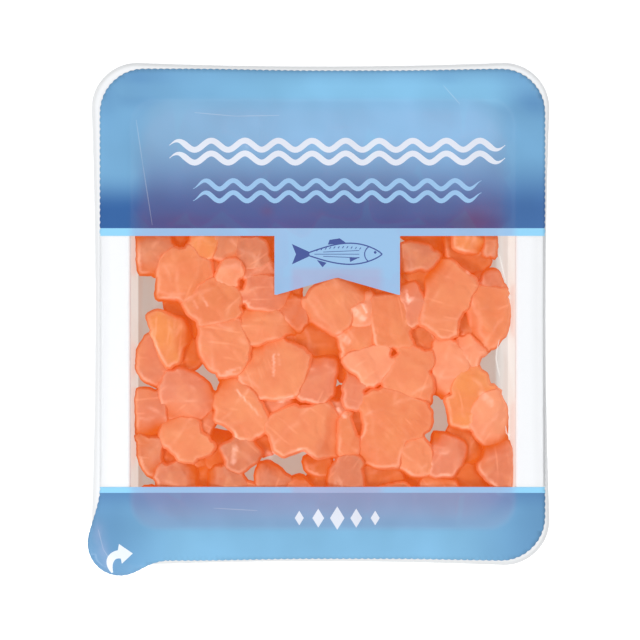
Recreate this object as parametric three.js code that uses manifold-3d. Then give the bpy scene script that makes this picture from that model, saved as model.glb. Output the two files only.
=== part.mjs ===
// A sealed pack of smoked salmon cubes: a white thermoformed tray with a wide flange, a heap of
// cubes that fills it, and a clear lidding film sealed on the flange and drawn over the heap.
// Millimetres, +Z up. The origin is the centre of the tray's flat bottom.

import * as THREE from 'three';
import { mergeVertices } from 'three/addons/utils/BufferGeometryUtils.js';
import Module from 'manifold-3d';

const wasm = await Module();
wasm.setup();

// ---- Driving dimensions ----

const GAP = 0.3; // between pieces that touch

const TRAY = {
  wall: 0.8,
  flangeTop: 12.5,
  cavityHalfX: 52.6, // at the rim
  cavityHalfY: 58.8,
  cavityCorner: 6.5,
  wallDraft: 1.3, // how far the wall leans in from rim to floor
  rimRadius: 0.9,
  floorRadius: 1.8,
  flangeHalfX: 62.8, // at the corners
  flangeHalfY: 68.9,
  flangeCorner: 12.5,
  flangeShift: -0.7, // the flange is cut a little off the cavity's centre
  sideBow: 1.0, // how far the middle of each side is drawn in
  lip: 1.6, // height of the turned-down edge
};

const FILM = {
  thickness: 0.35,
  halfX: 60.95,
  halfY: 67.35,
  corner: 12.0,
  shiftX: -0.15,
  shiftY: -0.2,
  cell: 4.0, // grid over the cavity
  clearance: 0.4, // between the film and the cubes under it
  sag: 1.2, // how far it is drawn down below the flange where the heap is low
};

// The peel tab is a round lobe at the lower left corner of the film.
const TAB = { x: -55.6, y: -62.8, radius: 8.9, leftRunY: -48, bottomRunX: -42 };

const HEAP = {
  floorGap: 0.3,
  coreTop: 7.4, // below the lowest cubes between the others
  coreInset: 1.2,
  cubeFoot: 5.2, // the cubes reach down into the core to here
  edgeRadius: 1.1, // how much the upper edges are drawn in and down
};

// Cubes that show through the window: the height of the top, then the corners of the outline
// from above as x,y pairs.
const WINDOW_CUBES = [
  [11.4, '-51,23 -42,23 -41.5,18.3 -44.5,15.5 -46,11 -50.5,11'],
  [12.8, '-44,15.8 -40.5,17.5 -36,18.2 -34,15.2 -31.6,14 -30.8,9.8 -33,6 -38,4 -45.8,4.2 -45.2,9'],
  [12.2, '-36,23 -28.5,23 -29.5,19 -30.8,16 -33.5,15.2 -35.3,17.6 -36.3,19.6'],
  [11.6, '-28.7,23 -29.5,19 -30.5,16.2 -27.5,15 -25.3,15.6 -24.3,17.5 -23.9,23'],
  [12.2, '-23.4,20.8 -18,21 -15.7,19.3 -14.9,16.6 -15.6,14.4 -18,12.8 -21.5,12.4 -23.2,14.2 -24,17.5'],
  [10.2, '-31.2,15.4 -27.4,15 -27.4,13.6 -29,10.4 -30.2,11'],
  [13, '-28.8,10 -27,14.3 -23.3,14.1 -22.4,11.2 -24.8,7.4 -27.3,8.4'],
  [11.2, '-22.2,12.6 -18.5,12.4 -15.5,13.9 -12.5,14.5 -11.5,11.5 -13,9.8 -18,10.1 -21.4,10.6'],
  [12.4, '-20.3,9.2 -16.5,10.1 -12.5,9.3 -9.8,6.5 -10.8,3.2 -13,1.4 -19,1.8 -22.9,4.6'],
  [13.2, '-38.2,2.3 -36.5,4.8 -31,9.3 -25.5,8 -23,4.8 -23.4,0.2 -28,-1.7 -33.3,-2.6 -36.6,-0.3'],
  [12.6, '-22.8,-0.5 -21,1.2 -17,1.4 -12.8,0.4 -8.5,-2.8 -7.4,-5 -14,-6 -17,-7.4 -20.3,-8 -21.8,-4.5'],
  [12.6, `-48.3,-0.3 -45.5,0.9 -42,-0.6 -38.3,-1.6 -35.6,-6.6 -38.6,-9.5 -39.2,-13 -42,-13.8
    -44.2,-11.4 -46.6,-5`],
  [11.2, `-48.3,-6 -46.6,-6.6 -44.4,-11.6 -42.9,-14.6 -43.6,-18.8 -45.6,-19.5 -49,-18.3 -51,-15
    -50.6,-9.5`],
  [13, `-33.6,-3.6 -28,-2.2 -24,-1.4 -22.2,-5 -21,-9 -21.2,-13 -23,-15.5 -27,-16.6 -31,-15.4
    -33.9,-11 -34.1,-7`],
  [12.4, `-43.3,-17.5 -39.5,-14.8 -35.2,-16.4 -31.3,-19.3 -29.9,-23.5 -31.5,-26 -33.8,-28.6
    -43.3,-28.2 -44,-22`],
  [11.4, `-50.8,-20.6 -48,-20.7 -44.7,-22.2 -44,-24.5 -43.7,-29 -44.7,-31 -44.9,-34.3 -48.5,-34.3
    -51,-32 -51.2,-25`],
  [11.2, `-50.8,-33.6 -48,-35 -44.6,-34.9 -44.5,-40 -45.2,-42.4 -46.4,-44.2 -47.9,-44.5 -49.6,-42
    -50.7,-38.5`],
  [12.6, `-43,-29.9 -38,-29.3 -34.8,-29.8 -34.2,-33 -32,-34.6 -29.8,-36 -31,-38.5 -36,-39.7
    -40,-39.2 -43,-36 -43.9,-33`],
  [10.8, '-33.5,-29 -31.4,-26.7 -30.6,-28 -30.1,-30.5 -31.3,-33 -33.4,-33.4 -34,-31.5'],
  [13.2, `-27.5,-17 -24.6,-16.6 -22.8,-18.6 -19,-22.6 -17,-26.2 -15.5,-29.4 -15.7,-31 -16.8,-33.2
    -20,-33.9 -22.8,-33.7 -26,-31 -29,-29.2 -29.4,-24.5 -28.3,-20`],
  [12.4, `-28.3,-36.6 -25,-34.8 -22.5,-34.2 -19,-35.4 -17.2,-37.5 -17,-38.7 -19,-40.8 -21.5,-42.8
    -24.6,-42.6 -26.3,-41`],
  [11.6, '-45.3,-42.6 -41,-41 -36.5,-40.3 -35.3,-42 -34.7,-45 -34.8,-48.4 -45.5,-48.4'],
  [11.8, '-31.3,-43.4 -29.5,-41.9 -24.5,-43 -22.5,-44.5 -20.6,-46.6 -20.4,-48.6 -31.2,-48.6'],
  [11.4, '-18.4,-48.6 -18.3,-43.5 -17,-41.1 -14.8,-40.8 -12.5,-42.1 -9.5,-44.6 -7,-46.8 -6.6,-48.6'],
  [10.9, '-9.9,5.6 -6.8,4.5 -5.5,2.5 -5,-1.6 -5.9,-4.4 -7.7,-3.4 -9.6,-1 -11.6,0.2 -10.5,3'],
  [12.9, `-20.5,-10 -15.5,-7.5 -12,-6.9 -8,-8.4 -5,-9.8 -4.3,-12 -5.4,-17 -7.5,-21.8 -12,-22.8
    -18.3,-22.3 -22,-18.2 -22.5,-16 -21,-13`],
  [10.9, '-16.6,-23.3 -12,-23.2 -8.5,-22.4 -8,-25 -13.5,-27.4 -15.2,-28.5 -16.2,-26'],
  [12, '-3.8,-12.4 0.5,-12.1 4,-12.7 3.1,-17.5 2.8,-22 0,-24 -6.3,-23.6 -6.4,-20.5 -4.7,-16.5'],
  [13.6, `-15.2,-30 -13.7,-28.2 -8,-26 1.6,-25.2 3.4,-27.8 4.6,-29.5 4.6,-36 3.6,-38.8 -2,-39.3
    -5,-37 -8,-37.8 -10.8,-39 -13.4,-37.3`],
  [12.6, '4.9,-29.2 6.6,-27 8.4,-31.5 9.7,-37.2 8.8,-38.6 5,-38.6 4.9,-34'],
  [11, '1.9,-24.6 5.3,-23.8 6.4,-26 4.9,-28.2 3.5,-27.2'],
  [12.4, '6.5,-14.7 9.7,-16.6 10.8,-19 10.2,-24 9,-25.9 7.4,-25.2 6,-22.5 5.6,-20.4 6.9,-17.5'],
  [13.3, `-5.2,2.8 -3,7 3,10.5 9,9.6 12,7 11.6,3.4 7.7,1 7,-2.3 4.8,-4.3 2.4,-5.2 0.5,-4.2
    -2.6,-2.7 -4.7,-1.3`],
  [12.8, '7.9,0.9 11.8,3.2 12.5,6.3 13.2,3 13,-0.5 12.6,-2.7 10,-3 7.4,-2.2'],
  [12.8, '14.2,4.8 20.4,5.6 22,3 23.3,-1.5 23.3,-4.5 24,-8 20,-8.7 15,-8.3 13.9,-1.5'],
  [12.2, '4.1,-5.6 7.3,-3.1 9.9,-3.4 13.4,-2.8 14.1,-8.2 12.5,-9.2 8,-10.7 6,-11.8 4.9,-9.5'],
  [12.9, `6.1,-12.2 9,-10.6 13.5,-9.6 17.6,-9.4 18.3,-12 20,-13 20.3,-15 16.5,-17.5 14,-19.7
    11.5,-19.2 9.8,-16 7.2,-14`],
  [12.9, `21.3,-9 25,-9 29,-10.8 29.9,-13 28.4,-15.8 29.2,-20 29.6,-24.3 26.5,-23.8 22.5,-22
    17.5,-20.5 17,-17.9 20.6,-13.2`],
  [13.2, `10.5,-24.5 12.8,-21.5 17.2,-21 22.3,-22.6 27.3,-24.8 29.7,-26.6 29.4,-31.3 26.5,-33.2
    22.5,-34.3 20.9,-38 20.2,-41.2 18.5,-42.1 14.5,-42 10.1,-40.2 9.9,-36.5 11.5,-31`],
  [12.6, `22.7,-34.7 25.2,-33.8 28.3,-35 28.8,-37.5 29.4,-42.5 28,-44.4 24.5,-44.6 21.2,-42.4
    21,-39.5`],
  [11.6, '1.4,-44.5 2,-42.2 4.5,-39.9 9.5,-39.8 10.2,-42 11,-45 11,-48.6 1.5,-48.6'],
  [12, '21.4,19 24,19.5 29,18.7 30.3,17 31.3,16 30,13.8 25.5,12.1 22,11.4 21.3,14'],
  [12.4, '36,23 35.8,18.1 39,17.1 44,16.6 44.8,19.5 44.5,23'],
  [11.2, '45.1,23 45.3,19 44.8,16.8 47.2,15.4 47.5,19 47,23'],
  [13.4, `27.9,10.5 31,15 35,14.9 38,12 41.9,9.6 41.4,7 39.4,4 38.5,1.5 36.8,-2 36.4,-5.6 34,-6
    30,-4.5 27.7,-3 27.6,-1 28.3,2 28.5,6`],
  [12.2, '21.4,7.5 25,8.8 26.2,7.5 27,4 27,0.5 26.3,-2.3 24,-3 23,-2.3 22.5,2'],
  [13, `40.8,6.4 43,7 47,6.6 49.7,5.8 50.8,2 50.8,-2 50.1,-5.4 48.4,-7.1 47.3,-9.2 43.9,-9.6
    42,-7.9 40.7,-5.8 39.9,-2 40.1,2.5`],
  [11.4, '43.4,7.4 44.4,11.4 46,12 47.8,11.8 49,8.6 49.5,6.6 46.5,7'],
  [12.8, `30.3,-8 31.3,-6.4 34.8,-7.5 36.6,-9.2 39.3,-11.8 39.3,-14.5 36.4,-17.6 34.8,-20.5
    33,-22.8 30.6,-21 29.9,-18 30.7,-14.5 30.2,-11`],
  [12, '37.3,-6.5 40,-6.3 42,-8.3 44,-9.9 42.5,-13 41.2,-14.8 39.9,-14.3 39.7,-11.4 37,-9'],
  [12.5, `36.8,-18.4 38.7,-15.6 42.8,-15.4 45,-16.7 45.4,-19.5 47,-21 44,-22 41.2,-25 40.3,-28
    39.9,-31.2 38,-31.4 35,-30.4 34.4,-26.5 33.8,-24 35.8,-22.3`],
  [12.8, `41.6,-25.2 44.2,-22.4 47.4,-21.3 48.6,-22.6 49.9,-25.5 50.3,-29.5 50,-34 46.5,-35
    43.5,-35.2 41.5,-33 40.9,-29`],
  [12.4, '30.4,-32.8 33.5,-33 38.4,-35 39.4,-36.2 38.8,-39 37.6,-41.5 35.8,-44.4 30.2,-44.8 30,-40'],
  [12.4, `44.8,-36.6 46,-35.7 50.5,-35.3 51.6,-37.5 51.8,-43 51.6,-48.4 48.5,-48.4 45.5,-45.8
    42.9,-43 42.6,-41.3 44.2,-39.3`],
];

// Lower ones, deep between the others.
const LOW_CUBES = [
  [8.4, '-42,23 -36.7,23 -36.6,19.4 -41,17.6'],
  [8.2, '-43,3.6 -38.6,3.8 -36,-0.8 -33.7,-3.4 -34.3,-8.4 -36,-6.4 -38.2,-1.4 -42,0'],
  [8.6, '-38.7,-9.4 -36,-7.7 -34,-8.6 -34,-12.5 -35.6,-14.2 -38,-14.8'],
  [8.6, '-22.6,10.4 -20.4,9.1 -23,5 -24.8,7'],
  [8.8, '-31,-32.8 -26,-33.6 -23.4,-34.4 -28.4,-36.6 -27,-42.4 -31.6,-41.6 -31.4,-39 -29.6,-36'],
  [8, '-35,-42 -31.6,-42.2 -31.4,-48.4 -34.6,-48.4'],
  [8.4, '-44.2,-36.4 -42.8,-36.4 -40.2,-39.6 -41,-40.7 -44.2,-41.4'],
  [8.6, '-20.6,-34.4 -16.4,-33.4 -15.6,-31.4 -13.9,-37.2 -16.6,-38.2 -17.4,-36.6'],
  [9.4, `-7.3,-4.6 -5.6,-4.6 -4.6,-2.2 0.3,-4.6 2.4,-5.6 4.2,-6.2 4.6,-11.6 -0.5,-11.8 -3.9,-10
    -7.5,-8.2`],
  [8.2, '-7.6,-22.4 -6.6,-24 0,-24.3 3,-22.6 5.2,-20.6 5.6,-22.8 1.6,-24.8 -8,-25.6'],
  [8, '4.6,-12.2 6,-12.4 7,-14.6 6.4,-17.6 5.2,-17.8'],
  [8.6, '6.8,-26.3 10,-25.6 11.2,-31 9.8,-36 8.7,-31.6'],
  [9.4, '11.4,-42.5 14.5,-42.4 19.5,-42.4 21.5,-44.4 21.6,-48.4 11.5,-48.4'],
  [9.2, '-4.6,-40 -2,-39.7 1.6,-39.6 1.6,-43.8 -1,-43.9 -4,-42.7'],
  [8.6, '-5.4,-48.4 -3.6,-45.2 1.1,-44.6 1.2,-48.4'],
  [8.4, '21.2,23 24.5,20.2 29,19.2 31.6,16.2 33.2,16 33,23'],
  [9.6, '34.5,23 35.7,23 35.8,18 39,16.9 44.4,16.2 45.4,14.8 43.5,12.6 40.5,12.2 38,13.2 34.8,15.6'],
  [8.6, '42.2,7.2 42.2,9.8 42.4,12 44.2,11.8 43.2,7.4'],
  [9.4, '21.4,10.8 25.4,11.6 29.6,13.2 27.7,10.6 28.3,6 27.4,-2.6 26.8,7.6 25,9.2'],
  [10.2, '23.6,-4.8 28,-4.5 30.2,-6.4 30,-10.4 25,-8.7 24.2,-7.8'],
  [8.4, '37.2,-1.6 39.6,0.4 40.2,-5.4 36.8,-5.8'],
  [9.2, '34.7,-31.6 39.6,-31.7 41,-34.2 42.8,-35.6 43.8,-37.2 42.4,-41.8 38.2,-41.3 39.8,-36.2'],
  [8.8, '38,-41.8 42.4,-42 42.9,-43.6 46,-46.4 47.6,-48.4 37,-48.4 36.4,-44.6'],
  [9.6, '22.5,-45.6 25,-45 29.5,-44.9 36,-45.2 36.6,-48.4 23,-48.4'],
  [8.8, '-17.4,22.4 -11,22.4 -11,13.6 -16.6,15'],
  [9.0, '-13.4,8 -7,9.4 -7,4 -12.6,2.6'],
  [9.0, '11,9 17.6,8.6 17.6,3.6 12,4.2'],
  [8.6, '16.6,-8.4 20.6,-8.4 20.6,-12.6 17,-12.6'],
];

// Cubes under the printed bands lie in loose rows.
const HIDDEN_ROWS = {
  y: [53.5, 42.5, 31.5, -54],
  pitch: 13,
  halfSpan: 45.5,
  length: [11, 14.5],
  width: [8.5, 11.5],
  top: [10.4, 12.6],
  shake: 1.6,
  cornerPush: 0.2, // share of a cube's half size
};

// ---- Small helpers ----

// The same repeatable sequence for a seed, from 0 to 1.
function seeded(seed) {
  let state = seed >>> 0;
  const next = () => {
    state = (Math.imul(state, 1664525) + 1013904223) >>> 0;
    return state / 4294967296;
  };
  next();
  next();
  return next;
}

const between = (low, high, share) => low + (high - low) * share;

function toManifold(geometry) {
  const bare = geometry.clone();
  bare.deleteAttribute('normal');
  bare.deleteAttribute('uv');
  const merged = mergeVertices(bare, 1e-4);
  const vertProperties = new Float32Array(merged.attributes.position.array);
  const triVerts = new Uint32Array(merged.index.array);
  return new wasm.Manifold(new wasm.Mesh({ numProp: 3, vertProperties, triVerts }));
}

function toGeometry(solid) {
  const mesh = solid.getMesh();
  const geometry = new THREE.BufferGeometry();
  geometry.setAttribute('position', new THREE.BufferAttribute(mesh.vertProperties, 3));
  geometry.setIndex(new THREE.BufferAttribute(mesh.triVerts, 1));
  geometry.computeVertexNormals();
  return geometry;
}

// A rounded rectangle as a ring of points, the middle of each side drawn in by the bow.
function roundedRing(halfX, halfY, radius, bow = 0, shift = 0) {
  const cornerSteps = 7;
  const sideSteps = 4;
  const ring = [];
  const corners = [[1, 1, 0], [-1, 1, 90], [-1, -1, 180], [1, -1, 270]];
  corners.forEach(([signX, signY, start], index) => {
    const centreX = signX * (halfX - radius);
    const centreY = signY * (halfY - radius);
    for (let step = 0; step <= cornerSteps; step += 1) {
      const angle = THREE.MathUtils.degToRad(start + (90 * step) / cornerSteps);
      ring.push([centreX + radius * Math.cos(angle), centreY + radius * Math.sin(angle)]);
    }
    const [nextX, nextY] = corners[(index + 1) % 4];
    const alongX = signX !== nextX;
    const run = alongX ? halfX - radius : halfY - radius;
    for (let step = 1; step < sideSteps; step += 1) {
      const share = 1 - (2 * step) / sideSteps;
      const drawnIn = bow * (1 - share * share);
      if (alongX) ring.push([signX * run * share, signY * (halfY - drawnIn)]);
      else ring.push([signX * (halfX - drawnIn), signY * run * share]);
    }
  });
  return ring.map(([x, y]) => [x + shift, y]);
}

// A closed skin over rings that follow each other, with a fan over the first and the last.
function loft(rings) {
  const count = rings[0].length;
  const positions = rings.flat(2);
  const index = [];
  for (let level = 0; level < rings.length - 1; level += 1) {
    for (let i = 0; i < count; i += 1) {
      const a = level * count + i;
      const b = level * count + ((i + 1) % count);
      index.push(a, b, b + count, a, b + count, a + count);
    }
  }
  const cap = (level, flipped) => {
    const centre = positions.length / 3;
    const ring = rings[level];
    const middle = ring.reduce((sum, p) => [sum[0] + p[0] / count, sum[1] + p[1] / count], [0, 0]);
    positions.push(middle[0], middle[1], ring[0][2]);
    for (let i = 0; i < count; i += 1) {
      const a = level * count + i;
      const b = level * count + ((i + 1) % count);
      if (flipped) index.push(centre, b, a);
      else index.push(centre, a, b);
    }
  };
  cap(0, true);
  cap(rings.length - 1, false);
  const geometry = new THREE.BufferGeometry();
  geometry.setAttribute('position', new THREE.Float32BufferAttribute(positions, 3));
  geometry.setIndex(index);
  geometry.computeVertexNormals();
  return geometry;
}

const atHeight = (ring, z) => ring.map(([x, y]) => [x, y, z]);

// ---- Tray ----

// The cavity's outline, inset from the rim.
function cavityRing(inset, z) {
  const { cavityHalfX, cavityHalfY, cavityCorner } = TRAY;
  const radius = Math.max(cavityCorner - inset, 1.5);
  return atHeight(roundedRing(cavityHalfX - inset, cavityHalfY - inset, radius), z);
}

// The flange's outline, inset from its cut edge.
function flangeRing(inset, z) {
  const { flangeHalfX, flangeHalfY, flangeCorner, sideBow, flangeShift } = TRAY;
  return atHeight(roundedRing(
    flangeHalfX - inset, flangeHalfY - inset, flangeCorner - inset, sideBow, flangeShift), z);
}

// Insets and heights along a quarter round, from the start angle to the end angle.
function quarterRound(centreInset, centreZ, radius, startDegrees, endDegrees, steps) {
  const points = [];
  for (let step = 0; step <= steps; step += 1) {
    const angle = THREE.MathUtils.degToRad(between(startDegrees, endDegrees, step / steps));
    points.push([centreInset - radius * Math.cos(angle), centreZ + radius * Math.sin(angle)]);
  }
  return points;
}

// Below the flange the outside of the wall follows the inside, one wall thickness further out.
function makeTray() {
  const { wall, flangeTop, wallDraft, rimRadius, floorRadius, lip } = TRAY;
  const under = flangeTop - wall;
  const foot = wallDraft + floorRadius;
  const rings = [];
  const outsideFloor = quarterRound(foot, floorRadius + wall, floorRadius + wall, -90, 0, 3);
  outsideFloor.forEach(([inset, z]) => rings.push(cavityRing(inset, z)));
  rings.push(cavityRing(-wall, under - 0.4));
  rings.push(cavityRing(-wall - 0.4, under));
  rings.push(flangeRing(1.6, under));
  rings.push(flangeRing(wall, under - 0.4));
  rings.push(flangeRing(wall, flangeTop - lip));
  rings.push(flangeRing(0, flangeTop - lip));
  rings.push(flangeRing(0.1, flangeTop - 0.7));
  rings.push(flangeRing(0.6, flangeTop - 0.15));
  rings.push(flangeRing(1.3, flangeTop));
  rings.push(cavityRing(-rimRadius, flangeTop));
  const rim = quarterRound(-rimRadius, flangeTop - rimRadius, rimRadius, 90, 180, 3);
  rim.slice(1).forEach(([inset, z]) => rings.push(cavityRing(inset, z)));
  const insideFloor = quarterRound(foot, floorRadius + wall, floorRadius, 0, -90, 3);
  insideFloor.forEach(([inset, z]) => rings.push(cavityRing(inset, z)));
  return loft(rings);
}

// ---- Salmon heap ----

function readCube([top, corners]) {
  return { top, outline: corners.split(/\s+/).map((pair) => pair.split(',').map(Number)) };
}

function hiddenCubes() {
  const random = seeded(4021);
  const { y: rows, pitch, halfSpan, length, width, top, shake, cornerPush } = HIDDEN_ROWS;
  const count = Math.round((2 * halfSpan) / pitch) + 1;
  const push = (reach) => (random() * 2 - 1) * reach;
  const cubes = [];
  for (const rowY of rows) {
    for (let i = 0; i < count; i += 1) {
      const x = between(-halfSpan, halfSpan, i / (count - 1)) + push(shake);
      const y = rowY + push(shake);
      const halfX = between(...length, random()) / 2;
      const halfY = between(...width, random()) / 2;
      const turn = THREE.MathUtils.degToRad(random() * 180);
      const height = between(...top, random());
      const outline = [[-1, -1], [1, -1], [1, 1], [-1, 1]].map(([signX, signY]) => {
        const u = halfX * (signX + push(cornerPush));
        const v = halfY * (signY + push(cornerPush));
        return [x + u * Math.cos(turn) - v * Math.sin(turn), y + u * Math.sin(turn) + v * Math.cos(turn)];
      });
      cubes.push({ top: height, outline });
    }
  }
  return cubes;
}

// A block that stands in the core, with its upper edge drawn in and down.
function cubeBlock({ top, outline }) {
  const flat = outline.map(([x, y]) => new THREE.Vector2(x, y));
  if (THREE.ShapeUtils.isClockWise(flat)) flat.reverse();
  const count = flat.length;
  const middle = flat.reduce((sum, point) => sum.add(point), new THREE.Vector2()).divideScalar(count);
  const positions = [];
  const addRing = (z, drawIn) => flat.forEach((point) => {
    const share = Math.min(drawIn / point.distanceTo(middle), 0.25);
    positions.push(between(point.x, middle.x, share), between(point.y, middle.y, share), z);
  });
  addRing(HEAP.cubeFoot, 0);
  addRing(top - HEAP.edgeRadius, 0);
  addRing(top, HEAP.edgeRadius);
  const index = [];
  for (let i = 0; i < 2 * count; i += 1) {
    const next = i % count === count - 1 ? i + 1 - count : i + 1;
    index.push(i, next, next + count, i, next + count, i + count);
  }
  THREE.ShapeUtils.triangulateShape(flat, []).forEach(([a, b, c]) => {
    index.push(a, c, b, a + 2 * count, b + 2 * count, c + 2 * count);
  });
  const geometry = new THREE.BufferGeometry();
  geometry.setAttribute('position', new THREE.Float32BufferAttribute(positions, 3));
  geometry.setIndex(index);
  return toManifold(geometry);
}

// The space that the tray leaves for its contents, one gap inside its walls and floor.
function insideTray() {
  const { wall, wallDraft, floorRadius } = TRAY;
  const floor = wall + HEAP.floorGap;
  const foot = wallDraft + floorRadius + GAP;
  const rounding = quarterRound(foot, floor + floorRadius, floorRadius, -90, 0, 3);
  const rings = rounding.map(([inset, z]) => cavityRing(inset, z));
  rings.push(cavityRing(TRAY.rimRadius * 0.3 + GAP, TRAY.flangeTop - TRAY.rimRadius));
  rings.push(cavityRing(TRAY.rimRadius * 0.3 + GAP, TRAY.flangeTop + 6));
  return toManifold(loft(rings));
}

// Only the largest closed skin, so that sealed hollows are filled and loose scraps dropped.
function largestSkin(solid) {
  return solid.decompose().reduce((best, part) => (part.volume() > best.volume() ? part : best));
}

function makeHeap() {
  const core = toManifold(loft([
    cavityRing(HEAP.coreInset + 2, 0.5),
    cavityRing(HEAP.coreInset, HEAP.coreTop),
  ]));
  const cubes = [...[...WINDOW_CUBES, ...LOW_CUBES].map(readCube), ...hiddenCubes()];
  let heap = core;
  cubes.forEach((cube) => {
    heap = heap.add(cubeBlock(cube));
  });
  return toGeometry(largestSkin(heap.intersect(insideTray())));
}

// ---- Lidding film ----

function filmOutline() {
  const { halfX, halfY, corner, shiftX, shiftY } = FILM;
  const left = shiftX - halfX;
  const right = shiftX + halfX;
  const bottom = shiftY - halfY;
  const top = shiftY + halfY;
  const shape = new THREE.Shape();
  shape.moveTo(TAB.bottomRunX, bottom);
  shape.lineTo(right - corner, bottom);
  shape.absarc(right - corner, bottom + corner, corner, -Math.PI / 2, 0, false);
  shape.lineTo(right, top - corner);
  shape.absarc(right - corner, top - corner, corner, 0, Math.PI / 2, false);
  shape.lineTo(left + corner, top);
  shape.absarc(left + corner, top - corner, corner, Math.PI / 2, Math.PI, false);
  shape.lineTo(left, TAB.leftRunY);
  const lobeStart = THREE.MathUtils.degToRad(170);
  const lobeEnd = THREE.MathUtils.degToRad(290);
  const startX = TAB.x + TAB.radius * Math.cos(lobeStart);
  const startY = TAB.y + TAB.radius * Math.sin(lobeStart);
  const endX = TAB.x + TAB.radius * Math.cos(lobeEnd);
  const endY = TAB.y + TAB.radius * Math.sin(lobeEnd);
  shape.bezierCurveTo(left, TAB.leftRunY - 4, startX + 0.8, startY + 4, startX, startY);
  shape.absarc(TAB.x, TAB.y, TAB.radius, lobeStart, lobeEnd, false);
  shape.bezierCurveTo(endX + 3, endY + 1, TAB.bottomRunX - 5, bottom, TAB.bottomRunX, bottom);
  return shape;
}

// The heap's height on a square grid of points one millimetre apart.
function heightMap(geometry) {
  const size = 160;
  const heights = new Float32Array(size * size);
  const position = geometry.attributes.position;
  const index = geometry.index.array;
  const corner = (i) => new THREE.Vector3().fromBufferAttribute(position, i);
  for (let t = 0; t < index.length; t += 3) {
    const [a, b, c] = [corner(index[t]), corner(index[t + 1]), corner(index[t + 2])];
    const area = (b.x - a.x) * (c.y - a.y) - (c.x - a.x) * (b.y - a.y);
    if (area <= 1e-6) continue;
    const box = new THREE.Box3().setFromPoints([a, b, c]);
    for (let x = Math.ceil(box.min.x); x <= box.max.x; x += 1) {
      for (let y = Math.ceil(box.min.y); y <= box.max.y; y += 1) {
        const u = ((x - a.x) * (c.y - a.y) - (c.x - a.x) * (y - a.y)) / area;
        const v = ((b.x - a.x) * (y - a.y) - (x - a.x) * (b.y - a.y)) / area;
        if (u < 0 || v < 0 || u + v > 1) continue;
        const cell = (x + size / 2) * size + y + size / 2;
        heights[cell] = Math.max(heights[cell], a.z + u * (b.z - a.z) + v * (c.z - a.z));
      }
    }
  }
  return (x, y) => heights[(x + size / 2) * size + y + size / 2];
}

// The film rests on the highest point of the heap within one grid cell of it.
function filmHeight(x, y, heapHeight) {
  const reach = Math.ceil(FILM.cell);
  let top = TRAY.flangeTop - FILM.sag;
  for (let dx = -reach; dx <= reach; dx += 1) {
    for (let dy = -reach; dy <= reach; dy += 1) {
      top = Math.max(top, heapHeight(Math.round(x) + dx, Math.round(y) + dy));
    }
  }
  return top + FILM.clearance;
}

// Grid lines over the cavity, with one line far outside on each side.
function gridLines(half, far) {
  const inner = half - 1;
  const count = Math.round((2 * inner) / FILM.cell);
  const lines = Array.from({ length: count + 1 }, (_, i) => between(-inner, inner, i / count));
  return [-far, ...lines, far];
}

// A sheet of even thickness whose underside stands at the film's height.
function filmSheet(heapHeight) {
  const far = 90;
  const xs = gridLines(TRAY.cavityHalfX, far);
  const ys = gridLines(TRAY.cavityHalfY, far);
  const flat = TRAY.flangeTop + GAP;
  const level = (x, y, i, j) => {
    const onEdge = i <= 1 || j <= 1 || i >= xs.length - 2 || j >= ys.length - 2;
    return onEdge ? flat : filmHeight(x, y, heapHeight);
  };
  const positions = [];
  xs.forEach((x, i) => ys.forEach((y, j) => {
    const z = level(x, y, i, j);
    positions.push(x, y, z, x, y, z + FILM.thickness);
  }));
  const at = (i, j, upper) => (i * ys.length + j) * 2 + upper;
  const index = [];
  const quad = (a, b, c, d) => index.push(a, b, c, a, c, d);
  for (let i = 0; i < xs.length - 1; i += 1) {
    for (let j = 0; j < ys.length - 1; j += 1) {
      quad(at(i, j, 1), at(i + 1, j, 1), at(i + 1, j + 1, 1), at(i, j + 1, 1));
      quad(at(i, j, 0), at(i, j + 1, 0), at(i + 1, j + 1, 0), at(i + 1, j, 0));
    }
  }
  const lastX = xs.length - 1;
  const lastY = ys.length - 1;
  for (let i = 0; i < lastX; i += 1) {
    quad(at(i, 0, 0), at(i + 1, 0, 0), at(i + 1, 0, 1), at(i, 0, 1));
    quad(at(i + 1, lastY, 0), at(i, lastY, 0), at(i, lastY, 1), at(i + 1, lastY, 1));
  }
  for (let j = 0; j < lastY; j += 1) {
    quad(at(0, j + 1, 0), at(0, j, 0), at(0, j, 1), at(0, j + 1, 1));
    quad(at(lastX, j, 0), at(lastX, j + 1, 0), at(lastX, j + 1, 1), at(lastX, j, 1));
  }
  const geometry = new THREE.BufferGeometry();
  geometry.setAttribute('position', new THREE.Float32BufferAttribute(positions, 3));
  geometry.setIndex(index);
  return geometry;
}

function makeFilm(heap) {
  const cutter = new THREE.ExtrudeGeometry(filmOutline(), {
    depth: 20, bevelEnabled: false, curveSegments: 8,
  });
  cutter.translate(0, 0, TRAY.flangeTop - 5);
  const sheet = toManifold(filmSheet(heightMap(heap)));
  return toGeometry(sheet.intersect(toManifold(cutter)));
}

// ---- The pack ----

function piece(name, geometry, settings) {
  const mesh = new THREE.Mesh(geometry, new THREE.MeshStandardMaterial(settings));
  mesh.name = name;
  return mesh;
}

const heapGeometry = makeHeap();

const group = new THREE.Group();
group.add(piece('tray', makeTray(), { color: 0xf3f4f6, roughness: 0.35, metalness: 0 }));
group.add(piece('salmon', heapGeometry, { color: 0xf5875a, roughness: 0.4, metalness: 0 }));
group.add(piece('film', makeFilm(heapGeometry), {
  color: 0x8fb8dc, roughness: 0.12, metalness: 0, transparent: true, opacity: 0.45,
}));

export default group;
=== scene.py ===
"""A sealed pack of smoked salmon cubes: white tray, cubes, printed lidding film, soft studio light."""

import math

import bpy
import numpy as np
from mathutils import Euler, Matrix, Vector, geometry, kdtree, noise
from mathutils.bvhtree import BVHTree


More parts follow.
